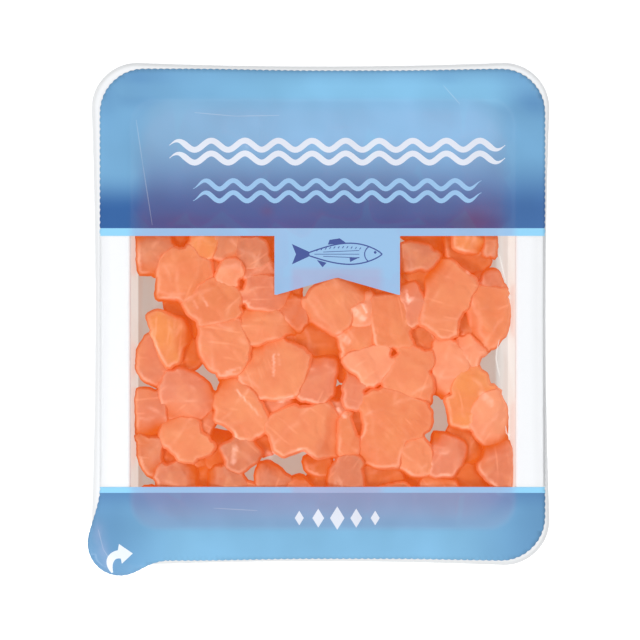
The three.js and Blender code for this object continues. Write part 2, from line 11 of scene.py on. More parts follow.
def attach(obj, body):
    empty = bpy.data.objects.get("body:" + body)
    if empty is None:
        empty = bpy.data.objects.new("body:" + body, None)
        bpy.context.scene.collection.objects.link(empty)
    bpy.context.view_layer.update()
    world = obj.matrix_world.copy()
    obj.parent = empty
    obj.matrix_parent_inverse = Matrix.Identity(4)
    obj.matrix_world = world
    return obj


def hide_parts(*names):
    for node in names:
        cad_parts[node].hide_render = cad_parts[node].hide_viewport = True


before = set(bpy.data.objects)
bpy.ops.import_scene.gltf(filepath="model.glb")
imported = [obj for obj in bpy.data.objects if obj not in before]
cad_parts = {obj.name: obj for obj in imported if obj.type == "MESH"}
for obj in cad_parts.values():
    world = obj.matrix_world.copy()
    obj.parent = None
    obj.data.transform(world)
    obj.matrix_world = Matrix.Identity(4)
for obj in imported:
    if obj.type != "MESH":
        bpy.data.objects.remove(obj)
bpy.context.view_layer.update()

MM = 0.001

# ---- Sizes in millimetres, as in the part's source ----

WALL = 0.8
FLANGE_TOP = 12.5
CAVITY_HALF = (52.6, 58.8)
CAVITY_CORNER = 6.5
WALL_DRAFT = 1.3
RIM_RADIUS = 0.9
FLOOR_RADIUS = 1.8
FLANGE_HALF = (62.8, 68.9)
FLANGE_CORNER = 12.5
FLANGE_SHIFT = -0.7
SIDE_BOW = 1.0
LIP = 1.6

FILM_HALF = (60.95, 67.35)
FILM_CORNER = 12.0
FILM_SHIFT = (-0.15, -0.2)
TAB_CENTRE = (-55.6, -62.8)
TAB_RADIUS = 8.9
TAB_LEFT_RUN_Y = -48.0
TAB_BOTTOM_RUN_X = -42.0
FILM_BOW = 0.5

# ---- Finer sizes, which this script adds ----

FILM_THICK = 0.09
TOOTH_PITCH = 1.7
TOOTH_DEPTH = 0.22
# Triangles of the film: spacing over the cavity and beyond it, over how much more than the cavity
# the first one runs, and how far both stay from the print's levels and from other printed lines.
FILM_SPACING = (0.7, 1.6)
FINE_MARGIN = 1.5
LEVEL_CLEAR = 0.25
MARK_SPACING = 0.4
MARK_CLEAR = 0.3
# How the film drapes: its height over what it touches, the most it sags, and its pull down a round.
DRAPE_CLEAR = 0.12
DRAPE_SAG = 0.5
DRAPE_ROUNDS = 600
FILM_PULL = 0.0012
CONTACT_ROUNDS = 6
EDGE_DROOP = 0.9

CORNER_STEPS = 20
SIDE_STEPS = 24
# Rings of the tray: insets over its floor and on its flange, and insets and heights on its walls.
FLOOR_RINGS = (30.0, 15.0, 4.0, 2.0, 1.0)
FLANGE_RINGS = (1.25, 1.6, 2.6, 3.6, 4.5)
OUTER_WALL = ((0.0, 5.5), (-0.45, 8.6))
INNER_WALL = ((0.45, 8.6), (0.9, 5.5))
ROUND_STEPS = 8
LIP_ROUND = 1.0
LIP_STEPS = 7

CORNER_CUT = 0.09
CHUNK_SPACING = 0.6
CHUNK_SWELL = 0.15
CHUNK_FOOT = WALL + 0.35
CHUNK_CLEAR = 0.25
# Chunks that lie closer than this are grown until they overlap a little; wider gaps stay open.
MEET_GAP = (1.1, 2.1)
MEET_OVERLAP = 0.55
LOW_SWELL = 0.9
# A chunk's side as (share of its height from the top edge, inset), so that neighbours meet low down.
SKIRT = ((0.03, -0.1), (0.08, -0.35), (0.15, -0.6), (0.8, -0.4), (1.0, 0.4))
# Points on a chunk's shoulder, as (inset, least distance from the outline), and those within.
SHOULDERS = ((0.18, 0.15), (0.5, 0.42))
ROW_SHARE = 0.87
GRID_CLEAR = 0.85
GRID_SHAKE = 0.12
# Noise in a chunk's outline and on its top: (scale, height) of each layer.
OUTLINE_NOISE = ((0.25, 0.15), (0.9, 0.22))
TOP_NOISE = ((0.2, 0.5), (0.55, 0.2), (1.3, 0.05))
TOP_ROUND = (0.15, 0.5)
TOP_LEAN = 0.05
TOP_LIMIT = FLANGE_TOP + 1.6
# Cuts over a chunk's top. The line of a cut says where on the chunk's reach it runs, the scale and
# height of its waves, and its place in the noise.
FACET_COUNT, FACET_LINE = (3, 6), ((0.05, 0.65), 0.25, 1.2, 0, 9)
FACET_SLOPE = (0.12, 0.42)
# Width of the painted highlight along each cut's ridge.
RIDGE_HIGHLIGHT_WIDTH = 0.45
STEP_COUNT, STEP_LINE = (1, 4), ((-0.1, 0.6), 0.35, 1.6, 5, 7)
STEP_DROP = (0.12, 0.4)
STEP_RUN = 0.7
# A chunk's painted highlight, a pale rim, lies on the side that turns this way, towards the key light; its
# painted shade at the edge and its painted light hem fade inwards.
LIT_SIDE = (-0.55, -0.83)
RIM_HIGHLIGHT_PLACE = (0.4, 0.33)
EDGE_SHADE_REACH = 1.6
HEM_LIGHT_REACH = 0.22
RIM_HIGHLIGHT_SHARE = 0.8
EDGE_SHADE_SHARE = 0.1
HEM_LIGHT_SHARE = 0.4
# How each chunk's grain tilts and is shifted in the noise, and how its tone varies.
GRAIN_TILT = 0.35
GRAIN_SHIFT = 50
TONE_RANGE = (0.97, 1.03)
CHUNK_SEED, GRAIN_SEED = 1000, 5000

# ---- Layout of the heap ----

# The chunks that show, as tone, top height and outline seen from above, as in the part's source.
CHUNKS = [
    ("shade", 11.4, "-51,23 -42,23 -41.5,18.3 -44.5,15.5 -46,11 -50.5,11"),
    ("orange", 12.8, "-44,15.8 -40.5,17.5 -36,18.2 -34,15.2 -31.6,14 "
        "-30.8,9.8 -33,6 -38,4 -45.8,4.2 -45.2,9"),
    ("amber", 12.2, "-36,23 -28.5,23 -29.5,19 -30.8,16 -33.5,15.2 -35.3,17.6 -36.3,19.6"),
    ("shade", 11.6, "-28.7,23 -29.5,19 -30.5,16.2 -27.5,15 -25.3,15.6 -24.3,17.5 -23.9,23"),
    ("shade", 12.2, "-23.4,20.8 -18,21 -15.7,19.3 -14.9,16.6 -15.6,14.4 "
        "-18,12.8 -21.5,12.4 -23.2,14.2 -24,17.5"),
    ("pink", 10.2, "-31.2,15.4 -27.4,15 -27.4,13.6 -29,10.4 -30.2,11"),
    ("cream", 13, "-28.8,10 -27,14.3 -23.3,14.1 -22.4,11.2 -24.8,7.4 -27.3,8.4"),
    ("pink", 11.2, "-22.2,12.6 -18.5,12.4 -15.5,13.9 -12.5,14.5 -11.5,11.5 -13,9.8 -18,10.1 -21.4,10.6"),
    ("pink", 12.4, "-20.3,9.2 -16.5,10.1 -12.5,9.3 -9.8,6.5 -10.8,3.2 -13,1.4 -19,1.8 -22.9,4.6"),
    ("orange", 13.2, "-38.2,2.3 -36.5,4.8 -31,9.3 -25.5,8 -23,4.8 "
        "-23.4,0.2 -28,-1.7 -33.3,-2.6 -36.6,-0.3"),
    ("pale", 12.6, "-22.8,-0.5 -21,1.2 -17,1.4 -12.8,0.4 -8.5,-2.8 "
        "-7.4,-5 -14,-6 -17,-7.4 -20.3,-8 -21.8,-4.5"),
    ("amber", 12.6, "-48.3,-0.3 -45.5,0.9 -42,-0.6 -38.3,-1.6 -35.6,-6.6 "
        "-38.6,-9.5 -39.2,-13 -42,-13.8 -44.2,-11.4 -46.6,-5"),
    ("pink", 11.2, "-48.3,-6 -46.6,-6.6 -44.4,-11.6 -42.9,-14.6 -43.6,-18.8 "
        "-45.6,-19.5 -49,-18.3 -51,-15 -50.6,-9.5"),
    ("pale", 13, "-33.6,-3.6 -28,-2.2 -24,-1.4 -22.2,-5 -21,-9 -21.2,-13 "
        "-23,-15.5 -27,-16.6 -31,-15.4 -33.9,-11 -34.1,-7"),
    ("rose", 12.4, "-43.3,-17.5 -39.5,-14.8 -35.2,-16.4 -31.3,-19.3 -29.9,-23.5 "
        "-31.5,-26 -33.8,-28.6 -43.3,-28.2 -44,-22"),
    ("pink", 11.4, "-50.8,-20.6 -48,-20.7 -44.7,-22.2 -44,-24.5 -43.7,-29 "
        "-44.7,-31 -44.9,-34.3 -48.5,-34.3 -51,-32 -51.2,-25"),
    ("shade", 11.2, "-50.8,-33.6 -48,-35 -44.6,-34.9 -44.5,-40 -45.2,-42.4 "
        "-46.4,-44.2 -47.9,-44.5 -49.6,-42 -50.7,-38.5"),
    ("pale", 12.6, "-43,-29.9 -38,-29.3 -34.8,-29.8 -34.2,-33 -32,-34.6 -29.8,-36 "
        "-31,-38.5 -36,-39.7 -40,-39.2 -43,-36 -43.9,-33"),
    ("pink", 10.8, "-33.5,-29 -31.4,-26.7 -30.6,-28 -30.1,-30.5 -31.3,-33 -33.4,-33.4 -34,-31.5"),
    ("pale", 13.2, "-27.5,-17 -24.6,-16.6 -22.8,-18.6 -19,-22.6 -17,-26.2 -15.5,-29.4 -15.7,-31 "
        "-16.8,-33.2 -20,-33.9 -22.8,-33.7 -26,-31 -29,-29.2 -29.4,-24.5 -28.3,-20"),
    ("shade", 12.4, "-28.3,-36.6 -25,-34.8 -22.5,-34.2 -19,-35.4 -17.2,-37.5 "
        "-17,-38.7 -19,-40.8 -21.5,-42.8 -24.6,-42.6 -26.3,-41"),
    ("shade", 11.6, "-45.3,-42.6 -41,-41 -36.5,-40.3 -35.3,-42 -34.7,-45 -34.8,-48.4 -45.5,-48.4"),
    ("shade", 11.8, "-31.3,-43.4 -29.5,-41.9 -24.5,-43 -22.5,-44.5 -20.6,-46.6 -20.4,-48.6 -31.2,-48.6"),
    ("shade", 11.4, "-18.4,-48.6 -18.3,-43.5 -17,-41.1 -14.8,-40.8 "
        "-12.5,-42.1 -9.5,-44.6 -7,-46.8 -6.6,-48.6"),
    ("pink", 10.9, "-9.9,5.6 -6.8,4.5 -5.5,2.5 -5,-1.6 -5.9,-4.4 -7.7,-3.4 -9.6,-1 -11.6,0.2 -10.5,3"),
    ("pale", 12.9, "-20.5,-10 -15.5,-7.5 -12,-6.9 -8,-8.4 -5,-9.8 -4.3,-12 -5.4,-17 "
        "-7.5,-21.8 -12,-22.8 -18.3,-22.3 -22,-18.2 -22.5,-16 -21,-13"),
    ("pink", 10.9, "-16.6,-23.3 -12,-23.2 -8.5,-22.4 -8,-25 -13.5,-27.4 -15.2,-28.5 -16.2,-26"),
    ("rose", 12, "-3.8,-12.4 0.5,-12.1 4,-12.7 3.1,-17.5 2.8,-22 0,-24 -6.3,-23.6 -6.4,-20.5 -4.7,-16.5"),
    ("pale", 13.6, "-15.2,-30 -13.7,-28.2 -8,-26 1.6,-25.2 3.4,-27.8 4.6,-29.5 4.6,-36 "
        "3.6,-38.8 -2,-39.3 -5,-37 -8,-37.8 -10.8,-39 -13.4,-37.3"),
    ("orange", 12.6, "4.9,-29.2 6.6,-27 8.4,-31.5 9.7,-37.2 8.8,-38.6 5,-38.6 4.9,-34"),
    ("pink", 11, "1.9,-24.6 5.3,-23.8 6.4,-26 4.9,-28.2 3.5,-27.2"),
    ("rose", 12.4, "6.5,-14.7 9.7,-16.6 10.8,-19 10.2,-24 9,-25.9 7.4,-25.2 6,-22.5 5.6,-20.4 6.9,-17.5"),
    ("pale", 13.3, "-5.2,2.8 -3,7 3,10.5 9,9.6 12,7 11.6,3.4 7.7,1 "
        "7,-2.3 4.8,-4.3 2.4,-5.2 0.5,-4.2 -2.6,-2.7 -4.7,-1.3"),
    ("cream", 12.8, "7.9,0.9 11.8,3.2 12.5,6.3 13.2,3 13,-0.5 12.6,-2.7 10,-3 7.4,-2.2"),
    ("orange", 12.8, "14.2,4.8 20.4,5.6 22,3 23.3,-1.5 23.3,-4.5 24,-8 20,-8.7 15,-8.3 13.9,-1.5"),
    ("orange", 12.2, "4.1,-5.6 7.3,-3.1 9.9,-3.4 13.4,-2.8 14.1,-8.2 12.5,-9.2 8,-10.7 6,-11.8 4.9,-9.5"),
    ("cream", 12.9, "6.1,-12.2 9,-10.6 13.5,-9.6 17.6,-9.4 18.3,-12 20,-13 "
        "20.3,-15 16.5,-17.5 14,-19.7 11.5,-19.2 9.8,-16 7.2,-14"),
    ("pale", 12.9, "21.3,-9 25,-9 29,-10.8 29.9,-13 28.4,-15.8 29.2,-20 "
        "29.6,-24.3 26.5,-23.8 22.5,-22 17.5,-20.5 17,-17.9 20.6,-13.2"),
    ("orange", 13.2, "10.5,-24.5 12.8,-21.5 17.2,-21 22.3,-22.6 27.3,-24.8 29.7,-26.6 29.4,-31.3 26.5,-33.2 "
        "22.5,-34.3 20.9,-38 20.2,-41.2 18.5,-42.1 14.5,-42 10.1,-40.2 9.9,-36.5 11.5,-31"),
    ("pale", 12.6, "22.7,-34.7 25.2,-33.8 28.3,-35 28.8,-37.5 29.4,-42.5 "
        "28,-44.4 24.5,-44.6 21.2,-42.4 21,-39.5"),
    ("shade", 11.6, "1.4,-44.5 2,-42.2 4.5,-39.9 9.5,-39.8 10.2,-42 11,-45 11,-48.6 1.5,-48.6"),
    ("shade", 12, "21.4,19 24,19.5 29,18.7 30.3,17 31.3,16 30,13.8 25.5,12.1 22,11.4 21.3,14"),
    ("amber", 12.4, "36,23 35.8,18.1 39,17.1 44,16.6 44.8,19.5 44.5,23"),
    ("shade", 11.2, "45.1,23 45.3,19 44.8,16.8 47.2,15.4 47.5,19 47,23"),
    ("pale", 13.4, "27.9,10.5 31,15 35,14.9 38,12 41.9,9.6 41.4,7 39.4,4 38.5,1.5 "
        "36.8,-2 36.4,-5.6 34,-6 30,-4.5 27.7,-3 27.6,-1 28.3,2 28.5,6"),
    ("rose", 12.2, "21.4,7.5 25,8.8 26.2,7.5 27,4 27,0.5 26.3,-2.3 24,-3 23,-2.3 22.5,2"),
    ("orange", 13, "40.8,6.4 43,7 47,6.6 49.7,5.8 50.8,2 50.8,-2 50.1,-5.4 "
        "48.4,-7.1 47.3,-9.2 43.9,-9.6 42,-7.9 40.7,-5.8 39.9,-2 40.1,2.5"),
    ("pink", 11.4, "43.4,7.4 44.4,11.4 46,12 47.8,11.8 49,8.6 49.5,6.6 46.5,7"),
    ("cream", 12.8, "30.3,-8 31.3,-6.4 34.8,-7.5 36.6,-9.2 39.3,-11.8 39.3,-14.5 36.4,-17.6 "
        "34.8,-20.5 33,-22.8 30.6,-21 29.9,-18 30.7,-14.5 30.2,-11"),
    ("cream", 12, "37.3,-6.5 40,-6.3 42,-8.3 44,-9.9 42.5,-13 41.2,-14.8 39.9,-14.3 39.7,-11.4 37,-9"),
    ("amber", 12.5, "36.8,-18.4 38.7,-15.6 42.8,-15.4 45,-16.7 45.4,-19.5 47,-21 44,-22 41.2,-25 "
        "40.3,-28 39.9,-31.2 38,-31.4 35,-30.4 34.4,-26.5 33.8,-24 35.8,-22.3"),
    ("cream", 12.8, "41.6,-25.2 44.2,-22.4 47.4,-21.3 48.6,-22.6 49.9,-25.5 50.3,-29.5 "
        "50,-34 46.5,-35 43.5,-35.2 41.5,-33 40.9,-29"),
    ("rose", 12.4, "30.4,-32.8 33.5,-33 38.4,-35 39.4,-36.2 38.8,-39 "
        "37.6,-41.5 35.8,-44.4 30.2,-44.8 30,-40"),
    ("pink", 12.4, "44.8,-36.6 46,-35.7 50.5,-35.3 51.6,-37.5 51.8,-43 51.6,-48.4 "
        "48.5,-48.4 45.5,-45.8 42.9,-43 42.6,-41.3 44.2,-39.3"),
]

# Chunks that lie low between the others, as top height and outline. Only their tops show, painted darker as
# shade.
LOW_CHUNKS = [
    (8.4, "-42,23 -36.7,23 -36.6,19.4 -41,17.6"),
    (8.2, "-43,3.6 -38.6,3.8 -36,-0.8 -33.7,-3.4 -34.3,-8.4 -36,-6.4 -38.2,-1.4 -42,0"),
    (9.0, "-38.7,-9.4 -36,-7.7 -34,-8.6 -34,-12.5 -35.6,-14.2 -38,-14.8"),
    (8.6, "-22.6,10.4 -20.4,9.1 -23,5 -24.8,7"),
    (8.8, "-31,-32.8 -26,-33.6 -23.4,-34.4 -28.4,-36.6 -27,-42.4 -31.6,-41.6 -31.4,-39 -29.6,-36"),
    (8, "-35,-42 -31.6,-42.2 -31.4,-48.4 -34.6,-48.4"),
    (9.2, "-44.2,-36.4 -42.8,-36.4 -40.2,-39.6 -41,-40.7 -44.2,-41.4"),
    (8.6, "-20.6,-34.4 -16.4,-33.4 -15.6,-31.4 -13.9,-37.2 -16.6,-38.2 -17.4,-36.6"),
    (9.4, "-7.3,-4.6 -5.6,-4.6 -4.6,-2.2 0.3,-4.6 2.4,-5.6 "
        "4.2,-6.2 4.6,-11.6 -0.5,-11.8 -3.9,-10 -7.5,-8.2"),
    (8.2, "-7.6,-22.4 -6.6,-24 0,-24.3 3,-22.6 5.2,-20.6 5.6,-22.8 1.6,-24.8 -8,-25.6"),
    (8, "4.6,-12.2 6,-12.4 7,-14.6 6.4,-17.6 5.2,-17.8"),
    (9.8, "6.8,-26.3 10,-25.6 11.2,-31 9.8,-36 8.7,-31.6"),
    (9.4, "11.4,-42.5 14.5,-42.4 19.5,-42.4 21.5,-44.4 21.6,-48.4 11.5,-48.4"),
    (9.2, "-4.6,-40 -2,-39.7 1.6,-39.6 1.6,-43.8 -1,-43.9 -4,-42.7"),
    (8.6, "-5.4,-48.4 -3.6,-45.2 1.1,-44.6 1.2,-48.4"),
    (8.4, "21.2,23 24.5,20.2 29,19.2 31.6,16.2 33.2,16 33,23"),
    (9.6, "34.5,23 35.7,23 35.8,18 39,16.9 44.4,16.2 "
        "45.4,14.8 43.5,12.6 40.5,12.2 38,13.2 34.8,15.6"),
    (8.6, "42.2,7.2 42.2,9.8 42.4,12 44.2,11.8 43.2,7.4"),
    (9.4, "21.4,10.8 25.4,11.6 29.6,13.2 27.7,10.6 28.3,6 27.4,-2.6 26.8,7.6 25,9.2"),
    (10.2, "23.6,-4.8 28,-4.5 30.2,-6.4 30,-10.4 25,-8.7 24.2,-7.8"),
    (10.0, "37.2,-1.6 39.6,0.4 40.2,-5.4 36.8,-5.8"),
    (9.6, "34.7,-31.6 39.6,-31.7 41,-34.2 42.8,-35.6 43.8,-37.2 42.4,-41.8 38.2,-41.3 39.8,-36.2"),
    (8.3, "38,-41.8 42.4,-42 42.9,-43.6 46,-46.4 47.6,-48.4 37,-48.4 36.4,-44.6"),
    (9.6, "22.5,-45.6 25,-45 29.5,-44.9 36,-45.2 36.6,-48.4 23,-48.4"),
    (8.8, "-17.4,22.4 -11,22.4 -11,13.6 -16.6,15"),
    (9.0, "-13.4,8 -7,9.4 -7,4 -12.6,2.6"),
    (9.0, "11,9 17.6,8.6 17.6,3.6 12,4.2"),
    (8.6, "16.6,-8.4 20.6,-8.4 20.6,-12.6 17,-12.6"),
    (8.8, "-24,2.4 -21.8,4.2 -19.8,2 -22,0.2"),
    (8.8, "-12,-6.4 -9.8,-4.8 -7.6,-6.8 -10,-8.6"),
    (9.0, "33.4,-6.4 35.4,-4.8 37.2,-6.8 35.2,-8.4"),
    (8.8, "27.4,-15.6 29.4,-13.8 31.2,-16.2 29,-18"),
    (8.8, "10.6,-19.8 13.6,-18.4 16,-19.6 13,-21.8"),
    (8.8, "19.8,9 21.6,11 23.4,8.8 21.4,7"),
    (8.8, "-42.6,-13.4 -40,-12.6 -38.6,-14.4 -41.6,-15.6"),
    (8.8, "-36.2,-39.2 -33.6,-38.6 -31.8,-40.4 -34.6,-41.4"),
]

# White lines of fat and painted glints on the chunks: from x, y to x, y, half width and strength.
FAT_AND_GLINT_FLECKS = (
    (8.8, 0.8, 11.0, -1.4, 0.9, 0.5),
    (10.8, 2.6, 12.0, 0.6, 0.45, 0.6),
    (22.8, 6.4, 23.4, 3.2, 0.42, 0.7),
    (23.4, 3.2, 24.6, 4.2, 0.5, 0.5),
    (39.8, 11.4, 42.0, 11.9, 0.5, 0.9),
    (30.4, -25.4, 32.8, -24.5, 0.45, 0.95),
    (31.0, -28.6, 31.2, -31.0, 0.35, 0.6),
    (43.6, -22.0, 46.0, -24.4, 1.1, 0.35),
    (4.6, -5.6, 6.6, -7.4, 1.1, 0.4),
    (-11.8, -23.9, -8.6, -22.9, 0.55, 0.7),
    (-24.0, -36.6, -24.6, -40.4, 0.8, 0.5),
    (-35.6, 3.6, -34.4, 1.4, 0.3, 0.35),
    (-33.2, 5.4, -31.6, 2.2, 0.3, 0.3),
    (-24.0, -20.6, -20.8, -24.0, 0.25, 0.5),
    (-20.8, -24.0, -17.2, -28.0, 0.25, 0.4),
    (-13.6, -11.2, -13.4, -17.0, 0.22, 0.5),
    (-12.2, -11.0, -11.9, -14.6, 0.2, 0.4),
    (4.0, -26.0, 6.0, -28.2, 0.5, 0.4),
    (-6.6, -37.0, -3.4, -38.6, 0.5, 0.35),
    (-26.8, -16.2, -22.9, -14.6, 0.4, 0.35),
)

# ---- Painted shade and glow: how pale and how deep things look ----

# How much painted shade the flange has on its rings inwards of the lip.
LIP_SHADE_FADE = (0.6, 0.35, 0.15, 0.25, 0.15, 0.0)
# Depth in the heap, which sets the painted shade and glow of the flesh, is counted from this height down.
DEPTH_FROM = 12.4
# The tops of the low chunks, down to this far below their highest point, get less painted shade and glow by
# a share.
LOW_TOP_REACH = 1.6
LOW_TOP_SHARE = 0.62
# The sides get painted shade and glow as if they lay at least this deep.
EDGE_SHADE_DEPTH = 0.7
# The floor's share of the walls' painted glow, so that the floor is painted in shade; towards the right wall
# it is as pale as that.
FLOOR_GLOW_SHARE = 0.68
PALE_SIDE_X = (47.6, 49.2)

# Rows of chunks under the printed bands, as in the part's source.
HIDDEN_ROWS_Y = (53.5, 42.5, 31.5, -54)
HIDDEN_PITCH = 13
HIDDEN_HALF_SPAN = 45.5
HIDDEN_LENGTH = (11, 14.5)
HIDDEN_WIDTH = (8.5, 11.5)
HIDDEN_TOP = (10.4, 12.6)
HIDDEN_SHAKE = 1.6
HIDDEN_SEED = 4021
CORNER_PUSH = 0.2

# ---- Print ----

# Edges of its fields along Y, and the pennant that hangs from the upper strip.
BAND_TOP_Y = 23.5
STRIP_TOP_Y = 21.4
STRIP_LOW_Y = -47.4
BAND_LOW_Y = -49.0
PRINT_LEVELS = (BAND_TOP_Y, STRIP_TOP_Y, STRIP_LOW_Y, BAND_LOW_Y)
PRINT_CENTRE_X = 3.9
PENNANT_HALF = 17.2
PENNANT_LOW_Y = 5.1
PENNANT_NOTCH_Y = 10.0

# Wavy lines in the place of the lettering: ink, middle, each line's rise over it, and then the
# waves' half span, height, pitch and width.
WAVES = (
    ("white", 44.5, (1.75, -1.75), (46.0, 1.25, 9.2, 1.6)),
    ("sky", 33.8, (1.65, -1.65), (39.5, 1.15, 7.6, 1.3)),
)
LOZENGE_Y = -55.9
LOZENGE_PITCH = 5.2
LOZENGE_SLIM = 0.62
# The plain fish is drawn facing left at this place and size, and turned to face right.
FISH_PLACE = (PRINT_CENTRE_X, 16.4)
FISH_LENGTH = 19.0
FISH_HEIGHT = 5.4
FISH_SCALE = 1.12

# Where cubes press on the upper band and tint it: x, y, reach in x, reach in y, strength.
TINTS = (
    (42.0, 26.0, 5.4, 4.2, 0.38),
    (36.6, 25.0, 2.4, 1.6, 0.2),
    (-15.3, 28.2, 1.9, 1.4, 0.25),
    (-50.0, 26.5, 2.2, 4.5, 0.14),
    (-1.0, 27.5, 2.4, 1.2, 0.1),
    (-38.0, 26.0, 9.0, 2.5, 0.1),
)

# Painted shade on crumpled parts of the upper band, written the same way.
SHADED_SPOTS = (
    (-51.0, 65.0, 8.0, 2.4, 0.75),
    (-52.5, 58.6, 7.0, 1.8, 0.45),
    (-59.0, 60.0, 3.0, 6.0, 0.4),
    (59.0, 57.6, 6.0, 3.4, 0.9),
    (54.0, 65.6, 6.0, 1.6, 0.3),
    (34.0, 64.5, 3.5, 1.6, 0.3),
)

# Soft sheens on the pull tab, written the same way.
TAB_SHEENS = (
    (-61.4, -60.0, 1.2, 3.2, 0.4),
    (-60.2, -64.5, 1.3, 3.0, 0.4),
    (-59.2, -67.6, 1.3, 2.4, 0.35),
)

# Fine creases in the film, drawn only as painted highlights, as lines from x, y to x, y.
CREASES = (
    (-51.2, 53.2, -49.4, 41.0),
    (-49.4, 41.0, -46.8, 24.4),
    (-35.2, 55.2, -24.0, 54.2),
    (-24.0, 54.2, -12.0, 54.4),
    (33.0, 62.6, 37.5, 57.5),
    (-30.0, -53.2, -18.0, -53.9),
    (-61.6, -59.0, -60.2, -64.4),
    (-60.2, -64.4, -57.6, -68.6),
)

# Thin painted highlights along the right wall, where the film clings to the juice: points of each line.
WALL_GLINT_LINES = (
    ((48.2, 16.7), (48.8, 14.2), (49.6, 10.7), (50.2, 8.5)),
    ((48.3, -7.0), (47.7, -9.6), (47.4, -12.1), (47.8, -14.4), (48.5, -17.3)),
    ((50.0, -30.6), (50.3, -32.6), (51.2, -33.6)),
)

# ---- Camera frame: the picture is 640 pixels wide ----

PIXELS_PER_MM = 3.65
IMAGE_SIDE = 640
ORIGIN_PIXEL = (323, 314)
CAMERA_DISTANCE = 1.1
FLOOR_HALF = 1500


def srgb(red, green, blue):
    """A colour given as 0 to 255 on a screen, as scene-linear numbers."""
    return tuple(
        (c / 255 / 12.92) if c <= 10 else ((c / 255 + 0.055) / 1.055) ** 2.4 for c in (red, green, blue)
    )


# ---- Mesh helpers ----


def seeded(seed):
    """The part's own repeatable sequence, from 0 to 1."""
    state = [seed & 0xFFFFFFFF]

    def following():
        state[0] = (state[0] * 1664525 + 1013904223) & 0xFFFFFFFF
        return state[0] / 4294967296

    following()
    following()
    return following


def between(low, high, share):
    return low + (high - low) * share


def smoothstep(low, high, value):
    t = np.clip((value - low) / (high - low), 0, 1)
    return t * t * (3 - 2 * t)


def plateau(low, full, still, high, value):
    """A share that rises smoothly from low to full and falls again from still to high."""
    return smoothstep(low, full, value) * smoothstep(high, still, value)


def blend(first, second, share):
    """Rows between two colours, or between rows of colours, one for each share."""
    share = share[:, None]
    return np.asarray(first) * (1 - share) + np.asarray(second) * share


def add_to_scene(name, data):
    obj = bpy.data.objects.new(name, data)
    bpy.context.scene.collection.objects.link(obj)
    return obj


def new_object(name, points_mm, faces, materials=()):
    """A smooth-shaded mesh object from points in millimetres."""
    mesh = bpy.data.meshes.new(name)
    mesh.from_pydata((np.asarray(points_mm) * MM).tolist(), [], [tuple(int(i) for i in f) for f in faces])
    mesh.update()
    mesh.shade_smooth()
    for material in materials:
        mesh.materials.append(material)
    return add_to_scene(name, mesh)


def add_layer(obj, name, kind, values, domain="POINT"):
    """Numbers, vectors or colours on a mesh's points or face corners, for its material to read."""
    layer = obj.data.attributes.new(name, kind, domain)
    field = {"FLOAT": "value", "FLOAT_VECTOR": "vector", "FLOAT_COLOR": "color"}[kind]
    layer.data.foreach_set(field, np.asarray(values, np.float32).ravel())


def rounded_ring(half_x, half_y, radius, bow=0.0, shift=0.0):
    """A rounded rectangle as points, the middle of each side drawn in by bow."""
    ring = []
    corners = ((1, 1, 0), (-1, 1, 90), (-1, -1, 180), (1, -1, 270))
    for number, (sign_x, sign_y, start) in enumerate(corners):
        centre_x = sign_x * (half_x - radius)
        centre_y = sign_y * (half_y - radius)
        for step in range(CORNER_STEPS + 1):
            angle = math.radians(start + 90 * step / CORNER_STEPS)
            ring.append((centre_x + radius * math.cos(angle), centre_y + radius * math.sin(angle)))
        along_x = corners[(number + 1) % 4][0] != sign_x
        run = half_x - radius if along_x else half_y - radius
        for step in range(1, SIDE_STEPS):
            share = 1 - 2 * step / SIDE_STEPS
            drawn_in = bow * (1 - share * share)
            if along_x:
                ring.append((sign_x * run * share, sign_y * (half_y - drawn_in)))
            else:
                ring.append((sign_x * (half_x - drawn_in), sign_y * run * share))
    return [(x + shift, y) for x, y in ring]


def cavity_ring(inset, z):
    radius = max(CAVITY_CORNER - inset, 1.5)
    return [(x, y, z) for x, y in rounded_ring(CAVITY_HALF[0] - inset, CAVITY_HALF[1] - inset, radius)]


def flange_ring(inset, z):
    ring = rounded_ring(
        FLANGE_HALF[0] - inset, FLANGE_HALF[1] - inset, FLANGE_CORNER - inset, SIDE_BOW, FLANGE_SHIFT
    )
    return [(x, y, z) for x, y in ring]


def quarter_round(centre_inset, centre_z, radius, start, end, steps):
    """Insets and heights along a quarter round, from one angle to the other."""
    points = []
    for step in range(steps + 1):
        angle = math.radians(between(start, end, step / steps))
        points.append((centre_inset - radius * math.cos(angle), centre_z + radius * math.sin(angle)))
    return points


# ---- Tray ----


def tray_profile():
    """Insets and heights of the tray's rings: outside, under the flange, its lip, its top and inside."""
    under = FLANGE_TOP - WALL
    lip_low = FLANGE_TOP - LIP
    foot = WALL_DRAFT + FLOOR_RADIUS
    foot_z = FLOOR_RADIUS + WALL
    outside = [(foot + more, 0.0) for more in FLOOR_RINGS]
    outside += quarter_round(foot, foot_z, foot_z, -90, 0, ROUND_STEPS)
    outside += [*OUTER_WALL, (-WALL, under - 0.4), (-WALL - 0.1, under - 0.12), (-WALL - 0.4, under)]
    below = [(4.5, under), (1.6, under), (1.0, under - 0.12), (WALL, under - 0.4)]
    lip = [(WALL, lip_low), (0.5, lip_low - 0.03), (0.0, lip_low)]
    lip += quarter_round(LIP_ROUND, FLANGE_TOP - LIP_ROUND, LIP_ROUND, 0, 90, LIP_STEPS)
    above = [(inset, FLANGE_TOP) for inset in FLANGE_RINGS]
    inside = [(-RIM_RADIUS - 1.5, FLANGE_TOP)]
    inside += quarter_round(-RIM_RADIUS, FLANGE_TOP - RIM_RADIUS, RIM_RADIUS, 90, 180, LIP_STEPS)
    inside += [*INNER_WALL, *quarter_round(foot, foot_z, FLOOR_RADIUS, 0, -90, ROUND_STEPS)]
    inside += [(foot + more, WALL) for more in reversed(FLOOR_RINGS)]
    return outside, below, lip, above, inside


